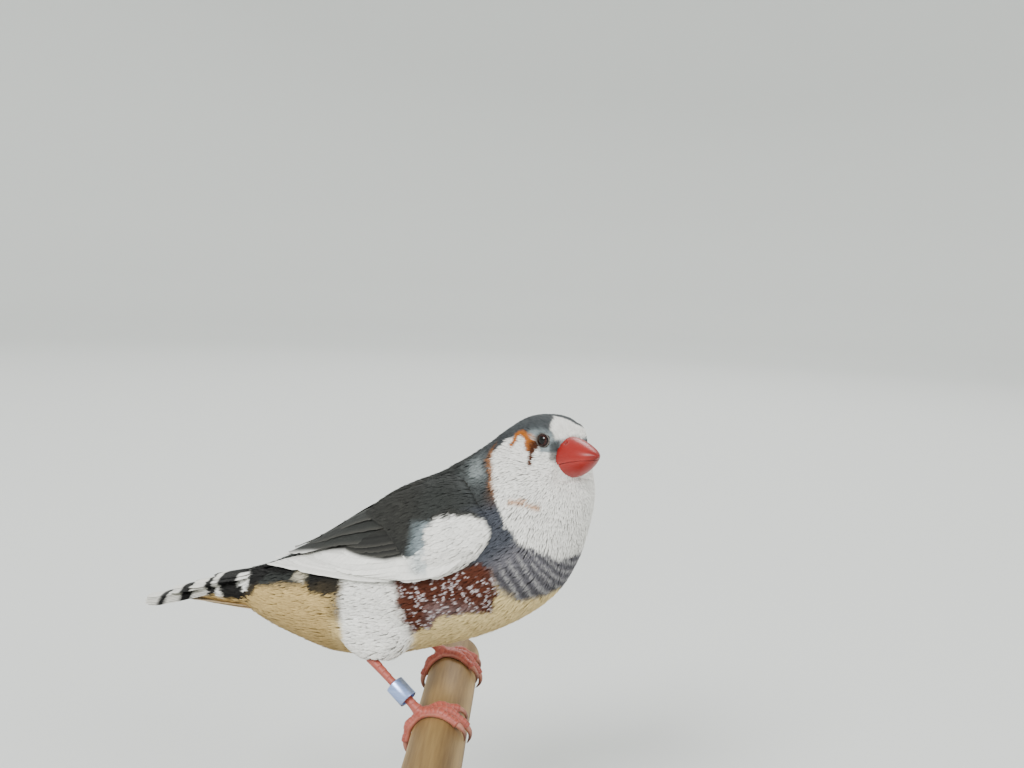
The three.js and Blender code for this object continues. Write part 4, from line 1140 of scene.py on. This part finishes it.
def tail():
    """Twelve tail feathers with barred coverts over them and buff ones below."""
    quills = []

    def quill(x, y, z, half, kind, upward, **more):
        normals = np.broadcast_to(unit(np.array((0.3, 0, 0.95 * upward))), (len(ALONG), 3))
        shaft = np.stack((x, y, z), -1)
        quills.append({"shaft": shaft, "normals": normals, "half": half, "kind": kind, **more})

    for side in (-1, 1):
        for i in range(5, -1, -1):
            reach = 1 - 0.006 * i - 0.002 * i * i + 0.005 * rng.normal()
            along = 0.1 + (reach - 0.1) * ALONG
            x, z = (TAIL_ROOT + (TAIL_TIP - TAIL_ROOT) * along[:, None]).T
            y = side * (0.35 + 0.5 * i) * (0.45 + 0.75 * ALONG)
            sag = 0.5 * np.sin(math.pi * along) + 0.012 * y ** 2
            lift = 0.26 * (2.5 - i)
            x, z = x + 0.3 * lift, z + 0.95 * lift - sag
            quill(x, y, z, 2.6, "tail", 1, root=0.4, point=3.4, curve=40)
    for kind, upward in (("over", 1), ("under", -1)):
        for x0, x1, count, width, z0, z1, half in TAIL_COVERTS[kind]:
            for y in np.linspace(-width, width, count) + rng.normal(0, 0.15, count):
                x = x0 + (x1 - x0 + 0.4 * rng.normal()) * ALONG
                z = z0 + (z1 - z0) * ALONG - 0.05 * upward * y * y
                quill(x, y * (1 - 0.15 * ALONG), z, half, kind, upward, root=0.5, point=2.1, curve=9)
    build_quills("tail_feathers", quills, tail_colours, "tail_plumage", "tail")


# Shaping by hand

def begin(kind, name, material, **settings):
    """Adds a primitive with its place in its mesh, and opens it for shaping with all selected."""
    bpy.ops.object.select_all(action="DESELECT")
    getattr(bpy.ops.mesh, f"primitive_{kind}_add")(**settings)
    piece = bpy.context.object
    piece.name = piece.data.name = name
    piece.data.materials.append(material)
    bpy.ops.object.transform_apply(location=True, rotation=True, scale=True)
    open_shape(piece)
    return piece


def finish_shape(angle):
    """Closes the piece in hand, with its faces pointing out and shaded smooth up to an angle."""
    bpy.ops.mesh.select_all(action="SELECT")
    bpy.ops.mesh.remove_doubles(threshold=1e-4)
    bpy.ops.mesh.normals_make_consistent(inside=False)
    bpy.ops.object.mode_set(mode="OBJECT")
    bpy.ops.object.shade_smooth_by_angle(angle=math.radians(angle))


def select(piece, kind, chosen):
    """In edit mode, selects the faces or edges that a test picks."""
    bpy.ops.mesh.select_all(action="DESELECT")
    bpy.ops.mesh.select_mode(type=kind)
    shape = bmesh.from_edit_mesh(piece.data)
    for element in shape.faces if kind == "FACE" else shape.edges:
        element.select_set(bool(chosen(element)))
    bmesh.update_edit_mesh(piece.data)


def draw_out(steps):
    """Extrudes the selected end along steps of place and scale, each step with its own centre."""
    for move, scale, centre in steps:
        bpy.ops.mesh.extrude_region_move(TRANSFORM_OT_translate={"value": move})
        bpy.ops.transform.resize(value=scale, center_override=centre)


# The head

MOUTH = ((24, 52.6), (28.6, 53.6), (31.5, 54.6), (34.5, 55.4), (38.6, 56))
NOSTRIL = (29.5, 2.5, 58.6)
BILL_RED = linear("8f201b")
BILL_DARK = linear("601410")
BILL_PALE = linear("a93a34")
# Painted shade in the hollows of the nostrils
NOSTRIL_PAINTED_SHADE = linear("240a07")
PUPIL = linear("050404")
IRIS = linear("2c0f0a")
LID_GREY = linear("5b5550")
LID_INNER = linear("1d1715")


def bill_colours(points):
    """Coral red, paler along the cutting edges and darker at the base and the tip, with painted shade in
    the nostrils.
    """
    x, y, z = points.T
    mouth = np.exp(-((z - curve(MOUTH, x)) / 0.55) ** 2)
    hole = np.linalg.norm(np.stack((x, np.abs(y), z), -1) - NOSTRIL, axis=1)
    streaks = 1 + 0.05 * np.sin(46 * np.arctan2(y, z - 55.4))
    return streaks[:, None] * laid_over(
        BILL_RED,
        (BILL_PALE, 0.45 * mouth),
        (BILL_DARK, 0.7 * (1 - smooth(x, 27.8, 29.2))),
        (BILL_DARK, 0.55 * smooth(x, 35.2, 37.4)),
        (NOSTRIL_PAINTED_SHADE, 1 - smooth(hole, 0.3, 0.6)),
    )


def half_bill(piece, upper):
    """Parts one mandible from the whole form at the mouth, and gives it its ridge and nostrils."""
    open_shape(piece)
    bpy.ops.mesh.bisect(plane_co=(0, 0, 0.04 if upper else -0.06), plane_no=(0, 0, 1), use_fill=True,
                        clear_inner=upper, clear_outer=not upper)
    finish_shape(50)

    def at_face(points):
        x, y, z = points[:, 0], points[:, 1], points[:, 2] + curve(MOUTH, points[:, 0])
        y = y * (1 - 0.16 * np.clip((z - 55.5) / 4, 0, 1) ** 2) * (1 if upper else 0.95)
        near = np.linalg.norm(np.stack((x, np.abs(y), z), -1) - NOSTRIL, axis=1)
        dent = 0.5 * np.exp(-(near / 0.42) ** 2) * upper
        return np.stack((x + 0.1 * dent, y - 0.8 * dent * np.sign(y), z - 0.7 * dent), -1)

    settle(piece, at_face)
    paint(piece, bill_colours(coordinates(piece)))
    settle(piece, lambda points: to_world(turned(points)))
    wear(piece, "bill_horn", "bill_upper" if upper else "bill_lower")


def bill():
    """Both mandibles, drawn out from the face to the tip as one form and then parted."""
    piece = begin("circle", "bill_upper_horn", BILL_HORN, vertices=32, radius=1, fill_type="NGON",
                  rotation=(0, math.pi / 2, 0))
    x, top, low, half = BILL_STATIONS.T
    middle, tall = (top + low) / 2, (top - low) / 2
    bpy.ops.transform.resize(value=(1, half[0], tall[0]))
    bpy.ops.transform.translate(value=(x[0], 0, middle[0]))
    zeros, ones = np.zeros(len(x) - 1), np.ones(len(x) - 1)
    moves = np.stack((np.diff(x), zeros, np.diff(middle)), -1)
    scales = np.stack((ones, half[1:] / half[:-1], tall[1:] / tall[:-1]), -1)
    centres = np.stack((x[1:], zeros, middle[1:]), -1)
    draw_out(zip(moves.tolist(), scales.tolist(), centres.tolist()))
    bpy.ops.mesh.extrude_region_move(TRANSFORM_OT_translate={"value": (0.12, 0, -0.05)})
    bpy.ops.mesh.merge(type="CENTER")
    finish_shape(40)
    apply_modifier(piece, "SUBSURF", levels=2, render_levels=2)
    # Lowered so that the mouth's line lies level, ready to be cut
    settle(piece, lambda p: np.stack((p[:, 0], p[:, 1], p[:, 2] - curve(MOUTH, p[:, 0])), -1))
    lower = add_object("bill_lower_horn", piece.data.copy())
    lower.data.name = lower.name
    half_bill(piece, True)
    half_bill(lower, False)


def at_eye(side):
    """A function that takes points shaped round the z axis to an eye, with z its axis."""
    _, _, axis = off_eye(np.zeros(3), side)
    forward = unit(np.cross((0, 0, -side), axis))
    above = np.cross(axis, forward) * side
    centre = turned((EYE[0], side * EYE[1], EYE[2]))
    return lambda points: to_world(centre + points @ np.stack((forward, above, axis)))


def eye(side, word):
    """An eyeball with its cornea, black pupil and dark iris, and the beaded rim of its lids."""
    ball = begin("uv_sphere", f"{word}_eyeball", EYE_GLASS, segments=48, ring_count=60, radius=EYE_RADIUS)
    select(ball, "FACE", lambda face: face.calc_center_median().z > 0.86 * EYE_RADIUS)
    bpy.ops.transform.resize(value=(0.97, 0.97, 1), center_override=(0, 0, EYE_RADIUS))
    bpy.ops.transform.translate(value=(0, 0, 0.1), use_proportional_edit=True, proportional_size=0.6)
    finish_shape(80)
    x, y, z = coordinates(ball).T
    tilt = np.degrees(np.arctan2(np.hypot(x, y), z))
    spokes = 1 + 0.25 * np.sin(30 * np.arctan2(y, x))
    paint(ball, laid_over(PUPIL, (IRIS * spokes[:, None], between(tilt, 26, 29, 38, 44))))
    settle(ball, at_eye(side))
    wear(ball, "eye", f"eye_{word}")
    rim = begin("circle", f"{word}_eyelids", LID_SKIN, vertices=12, radius=0.17,
                rotation=(math.pi / 2, 0, 0), location=(LID_RADIUS, 0, LID_HEIGHT))
    bpy.ops.mesh.spin(steps=88, angle=2 * math.pi, center=(0, 0, 0), axis=(0, 0, 1))
    finish_shape(80)

    def wrinkled(points):
        around = np.arctan2(points[:, 1], points[:, 0])
        beads = np.cos(22 * around)
        bead = 1 + 0.035 * beads * smooth(points[:, 2], 1.2, 1.5)
        corners = 0.1 * np.cos(around) ** 6
        return points * np.stack((bead * (1.03 + corners), bead * 0.95, 1 + 0.03 * beads), -1)

    settle(rim, wrinkled)
    x, y, _ = coordinates(rim).T
    inner = 1 - smooth(np.hypot(x, y), LID_RADIUS - 0.15, LID_RADIUS + 0.05)
    paint(rim, laid_over(LID_GREY, (LID_INNER, 0.9 * inner)))
    settle(rim, at_eye(side))
    wear(rim, "eye")


# Legs

PERCH_RADIUS = 6
FOOT_Y = 17.8
ANKLE = (-13.3, 14, 8.6)
TARSUS_RADIUS = 1.02
TOE_RADIUS = 1.06
# Where each foot stands round the perch, in degrees from its top
FOOT_ANGLE = {1: -20, -1: -33}
# Where the right foot's toes end round the perch, and how far each spreads along it
TOES = ((34, 3.9), (60, 0.4), (38, -3.5), (-94, 0.6))
LEG_PINK = linear("a34f42")
LEG_PALE = linear("c17d6c")
LEG_DARK = linear("7a352a")
TOE_PAD = linear("c98374")
CLAW_ROOT = linear("a9705f")
CLAW_TIP = linear("5a3a30")
RING_INNER = 1.65
RING_OUTER = 2.1
RING_LENGTH = 4.6
RING_SHARE = 0.6  # of the way from ankle to heel


def on_perch(degrees, y, height):
    """Places on the perch, in the bird's frame, by the angle round it, along it and off it."""
    angle, reach = np.radians(degrees), PERCH_RADIUS + height
    place = np.broadcast_arrays(reach * np.sin(angle), y, reach * np.cos(angle) - PERCH_RADIUS)
    return spun(np.stack(place, -1), -BODY_TURN)


def toe_line(side, toe, u, height):
    end, spread = toe
    degrees = FOOT_ANGLE[side] + (end - FOOT_ANGLE[-1]) * u
    return on_perch(degrees, side * (FOOT_Y - spread * np.minimum(u, 1.15)), height)


def shank_ends(side, sole):
    """An ankle and its heel, with the heel so far above the perch."""
    return ANKLE * np.array((1, side, 1)), on_perch(FOOT_ANGLE[side], side * FOOT_Y, sole)


def tube_rings(line, radius, above, columns, flat=1):
    """Rings round a line, with the given direction at the top of each."""
    side = unit(np.cross(unit(np.gradient(line, axis=0)), above))
    top = np.cross(side, unit(np.gradient(line, axis=0)))
    turn = np.linspace(0, 2 * math.pi, columns, endpoint=False)[:, None]
    reach = radius[:, None, None]
    return line[:, None] + reach * (np.cos(turn) * top[:, None] + flat * np.sin(turn) * side[:, None])


def foot(side, word):
    """Tarsus and toes grown into one skin, with overlapping scutes above and pads below."""
    u = np.linspace(0, 1, 50)
    ankle, _ = shank_ends(side, 0)
    heel = toe_line(side, TOES[1], 0, 1.5)
    shank = ankle + (heel - ankle) * (1.12 * u[:, None] - 0.12)
    front = unit(np.cross((0, 1, 0), heel - ankle))
    bulge = 1.1 - 0.26 * np.sin(math.pi * u) + 0.2 * smooth(u, 0.86, 1)
    lines = [(shank, TARSUS_RADIUS * bulge, np.tile(front * np.sign(front[0]), (50, 1)))]
    for toe in TOES:
        radius = TOE_RADIUS * (1.06 - 0.24 * u + 0.1 * np.cos(4 * math.pi * u))
        line = toe_line(side, toe, u, radius * 0.93)
        lines.append((line, radius, unit(line - toe_line(side, toe, u, -PERCH_RADIUS))))
    leg, *toes = [add_tube(f"{word}_leg_skin", tube_rings(*line, 14), LEG_SKIN) for line in lines]
    only(leg, *toes)
    bpy.ops.object.join()
    apply_modifier(leg, "REMESH", mode="VOXEL", voxel_size=0.15 * MM)
    apply_modifier(leg, "SMOOTH", factor=0.5, iterations=6)
    points = to_bird(coordinates(leg))
    best, out = np.full((len(points), 1), 1e9), np.zeros_like(points)
    marks = np.zeros((len(points), 4))
    for is_toe, (line, radius, above) in zip((0, 1, 1, 1, 1), lines):
        gaps = np.linalg.norm(points[:, None] - line, axis=2)
        nearest = gaps.argmin(1)
        tangent = unit(np.gradient(line, axis=0))[nearest]
        offset = points - line[nearest]
        ahead = (offset * tangent).sum(1)
        outward = unit(offset - ahead[:, None] * tangent)
        run = np.concatenate(((0,), np.cumsum(np.linalg.norm(np.diff(line, axis=0), axis=1))))
        phase = np.mod((run[nearest] + ahead) / (0.95 if is_toe else 1.55), 1)
        dorsal = smooth((outward * above[nearest]).sum(1), -0.15, 0.35)
        between_plates = 1 - between(phase, 0, 0.12, 0.93, 1)
        own = ((phase ** 1.4 - 0.4) * dorsal, between_plates * dorsal,
               is_toe * (1 - dorsal), is_toe * smooth(nearest / 49, 0.75, 1))
        margin = (gaps.min(1) - radius[nearest])[:, None]
        better = margin < best
        best, out = np.where(better, margin, best), np.where(better, outward, out)
        marks = np.where(better, np.stack(own, -1), marks)
    scale, groove, pad, tip = marks.T
    groove = np.clip(groove, 0, 1)
    settle(leg, lambda _: to_world(points + out * (0.1 * scale - 0.05 * groove)[:, None]))
    leg.data.shade_smooth()
    paint(leg, laid_over(
        LEG_PINK,
        (LEG_PALE, 0.5 * np.clip(scale + 0.1, 0, 1)),
        (LEG_DARK, 0.75 * groove),
        (TOE_PAD, 0.6 * pad),
        (LEG_DARK, 0.3 * tip),
    ))
    wear(leg, "leg_skin", f"leg_{word}")


def claw(side, word, index):
    """A curved claw that hooks round the perch, narrower than it is deep."""
    toe = TOES[index]
    length = 4.9 if toe[0] < 0 else 4.0  # the back toe's is the longest
    share = np.linspace(-0.12, 1, 26)
    past = np.clip(share, 0, 1)
    u = 1 + share * length / (math.radians(abs(toe[0] - FOOT_ANGLE[-1])) * (PERCH_RADIUS + 1))
    line = toe_line(side, toe, u, 0.88 + 0.42 * np.sin(math.pi * past) - 0.72 * past ** 1.5)
    above = unit(line - toe_line(side, toe, u, -PERCH_RADIUS))
    rings = tube_rings(line, 0.66 * (1 - past) ** 0.75 + 0.04, above, 16, flat=0.78)
    piece = add_tube(f"{word}_claw_{index + 1}", rings, CLAW_HORN)
    points = to_bird(coordinates(piece))
    ends = np.linalg.norm(points[:, None] - line, axis=2).argmin(1) / 25
    paint(piece, laid_over(CLAW_ROOT, (CLAW_TIP, smooth(ends, 0.15, 0.8))))
    wear(piece, "claw_horn", f"claw_{word}_{index + 1}")


def leg_ring():
    """A closed band round the right tarsus: its section turned about the leg, with eased edges."""
    ring = begin("plane", "leg_ring_band", ALUMINIUM, size=1, rotation=(math.pi / 2, 0, 0))
    bpy.ops.transform.resize(value=(RING_OUTER - RING_INNER, 1, RING_LENGTH))
    bpy.ops.transform.translate(value=((RING_OUTER + RING_INNER) / 2, 0, 0))
    bpy.ops.mesh.bevel(offset=0.12, segments=3, affect="VERTICES")
    bpy.ops.mesh.delete(type="ONLY_FACE")
    bpy.ops.mesh.select_all(action="SELECT")
    bpy.ops.mesh.spin(steps=64, angle=2 * math.pi, center=(0, 0, 0), axis=(0, 0, 1))
    finish_shape(35)
    ankle, heel = shank_ends(-1, 1.65)
    down = unit(heel - ankle)
    side = unit(np.cross(down, (0, 1, 0)))
    axes = np.stack((side, np.cross(down, side), down))
    settle(ring, lambda points: to_world(ankle + (heel - ankle) * RING_SHARE + points @ axes))
    wear(ring, "ring_metal", "leg_ring")


# Perch and stand

def limits(node):
    """A node's lowest corner, middle and highest corner in millimetres."""
    low, high = (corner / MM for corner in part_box(node))
    return low, (low + high) / 2, high


def perch():
    """A cut length of dowel with eased ends and a slightly uneven surface."""
    low, middle, high = limits("perch")
    dowel = begin("circle", "perch_dowel", DOWEL, vertices=96, radius=PERCH_RADIUS, fill_type="NGON",
                  rotation=(math.pi / 2, 0, 0), location=(0, low.y, middle.z))
    parts = 40
    for _ in range(parts):
        bpy.ops.mesh.extrude_region_move(TRANSFORM_OT_translate={"value": (0, (high.y - low.y) / parts, 0)})
    select(dowel, "FACE", lambda face: abs(face.normal.y) > 0.9)
    bpy.ops.mesh.bevel(offset=0.35, segments=3, affect="EDGES")
    # Lines inside the rims keep the shading of the flat ends level
    select(dowel, "FACE", lambda face: abs(face.normal.y) > 0.99 and
           (face.calc_center_median() - middle).xz.length < 1)
    bpy.ops.mesh.inset(thickness=1.2)
    bpy.ops.mesh.inset(thickness=1.6)
    finish_shape(40)

    def sawn(points):
        x, y, z = points.T
        z = z - middle.z
        around = np.arctan2(x, z)
        wave = 0.02 * np.sin(3 * around + 0.21 * y) + 0.015 * np.sin(7 * around - 0.13 * y)
        scale = 1 + (wave - 0.035) / PERCH_RADIUS
        return np.stack((x * scale, y, middle.z + z * scale), -1) * MM

    settle(dowel, sawn)
    wear(dowel, "perch_wood", "perch")


def stand():
    """A rounded hardwood base with eased edges, and two steel rods up to the perch, each with a thin
    collar where it enters the base."""
    low, middle, high = limits("stand_base")
    board = begin("cube", "base_board", WALNUT, size=1, location=middle, scale=high - low)
    select(board, "EDGE", lambda edge: abs(edge.verts[0].co.z - edge.verts[1].co.z) > 1)
    bpy.ops.mesh.bevel(offset=9, segments=12, affect="EDGES")
    # A second line inside the rim keeps the shading of the flat top level
    select(board, "FACE", lambda face: face.normal.z > 0.9)
    bpy.ops.mesh.inset(thickness=2.2)
    select(board, "EDGE", lambda edge: edge.calc_face_angle(0) > 1)
    bpy.ops.mesh.bevel(offset=0.9, segments=4, affect="EDGES")
    finish_shape(30)
    settle(board, lambda points: points * MM)
    wear(board, "base_wood", "stand_base")
    for node in ("stand_rod_near", "stand_rod_far"):
        low, middle, high = limits(node)
        radius = (high.x - low.x) / 2
        wide = radius + 1.3
        rod = begin("circle", node.replace("stand_", "steel_"), STEEL, vertices=48, radius=wide,
                    fill_type="NGON", location=(middle.x, middle.y, low.z - 0.25))
        collar = (middle.x, middle.y, low.z + 1)
        eased = 0.94
        narrow = radius / wide / eased
        draw_out([((0, 0, rise), (scale, scale, 1), collar) for rise, scale in
                  ((0.8, 1), (0.2, eased), (0, narrow), (high.z - low.z - 1.2, 1))])
        finish_shape(35)
        settle(rod, lambda points: points * MM)
        wear(rod, "rod_steel", node)


# Stage, light and camera

def stage():
    """A pale floor that rises into a soft backdrop on every side."""
    # Matt studio paper, so that nothing but a soft shadow shows on it
    paper, tree = new_material("matt_studio_paper")
    shader = add(tree, "BsdfPrincipled", {"Base Color": rgba("d9dbd8"), "Roughness": 0.9})
    add(tree, "OutputMaterial", (shader,))
    floor = begin("circle", "floor", paper, vertices=96, radius=1.6, fill_type="NGON")
    draw_out([((0, 0, rise), (scale, scale, 1), (0, 0, 0)) for rise, scale in
              ((0.02, 1.12), (0.08, 1.1), (0.16, 1.07), (0.26, 1.045), (0.4, 1.02), (0.6, 1.01))])
    select(floor, "FACE", lambda face: face.calc_center_median().z > 1.4)
    bpy.ops.mesh.delete(type="FACE")
    bpy.ops.mesh.select_all(action="SELECT")
    bpy.ops.mesh.normals_make_consistent(inside=True)
    bpy.ops.object.mode_set(mode="OBJECT")
    bpy.ops.object.shade_smooth()
    world = bpy.data.worlds.new("studio")
    bpy.context.scene.world = world
    world.use_nodes = True
    sky = world.node_tree.nodes["Background"]
    sky.inputs["Color"].default_value = rgba("e4e8e6")
    sky.inputs["Strength"].default_value = 0.9


def area_light(name, place, size, power):
    """A round soft light that looks at the bird's middle."""
    lamp = bpy.data.lights.new(name, "AREA")
    lamp.shape = "DISK"
    lamp.size = size
    lamp.energy = power
    light = add_object(name, lamp)
    light.location = place
    light.rotation_euler = (Vector((0, 0, 0.08)) - light.location).to_track_quat("-Z", "Y").to_euler()


def camera():
    """The photograph's view: a little above the bird, from its right side, and slightly rolled."""
    lens = bpy.data.cameras.new("camera")
    lens.sensor_width = 36
    lens.lens = 38.67
    lens.clip_start = 0.01
    lens.clip_end = 20
    taker = add_object("camera", lens)
    bpy.context.scene.camera = taker
    taker.location = Vector((18.25, -234.9, 141.7)) * MM
    yaw, tilt, roll = (Matrix.Rotation(math.radians(degrees), 3, axis)
                       for degrees, axis in ((1.44, "Z"), (90 - 6.15, "X"), (2.45, "Z")))
    taker.rotation_euler = (yaw @ tilt @ roll).to_euler()


hull, skin = body_skin()
body_coat()
for wing_side, side_word in ((1, "left"), (-1, "right")):
    wing(wing_side, f"{side_word}_wing_feathers", f"wing_{side_word}")
    shoulder_coverts(wing_side, f"{side_word}_shoulder_coverts")
    eye(wing_side, side_word)
    foot(wing_side, side_word)
    for toe_index in range(4):
        claw(wing_side, side_word, toe_index)
tail()
bill()
leg_ring()
perch()
stand()
stage()
camera()
area_light("key", (-0.75, -1.25, 1.35), 0.8, 38)
area_light("fill", (1.2, -0.9, 0.9), 0.9, 14)
area_light("back", (0.2, 1.2, 1.4), 0.8, 17)
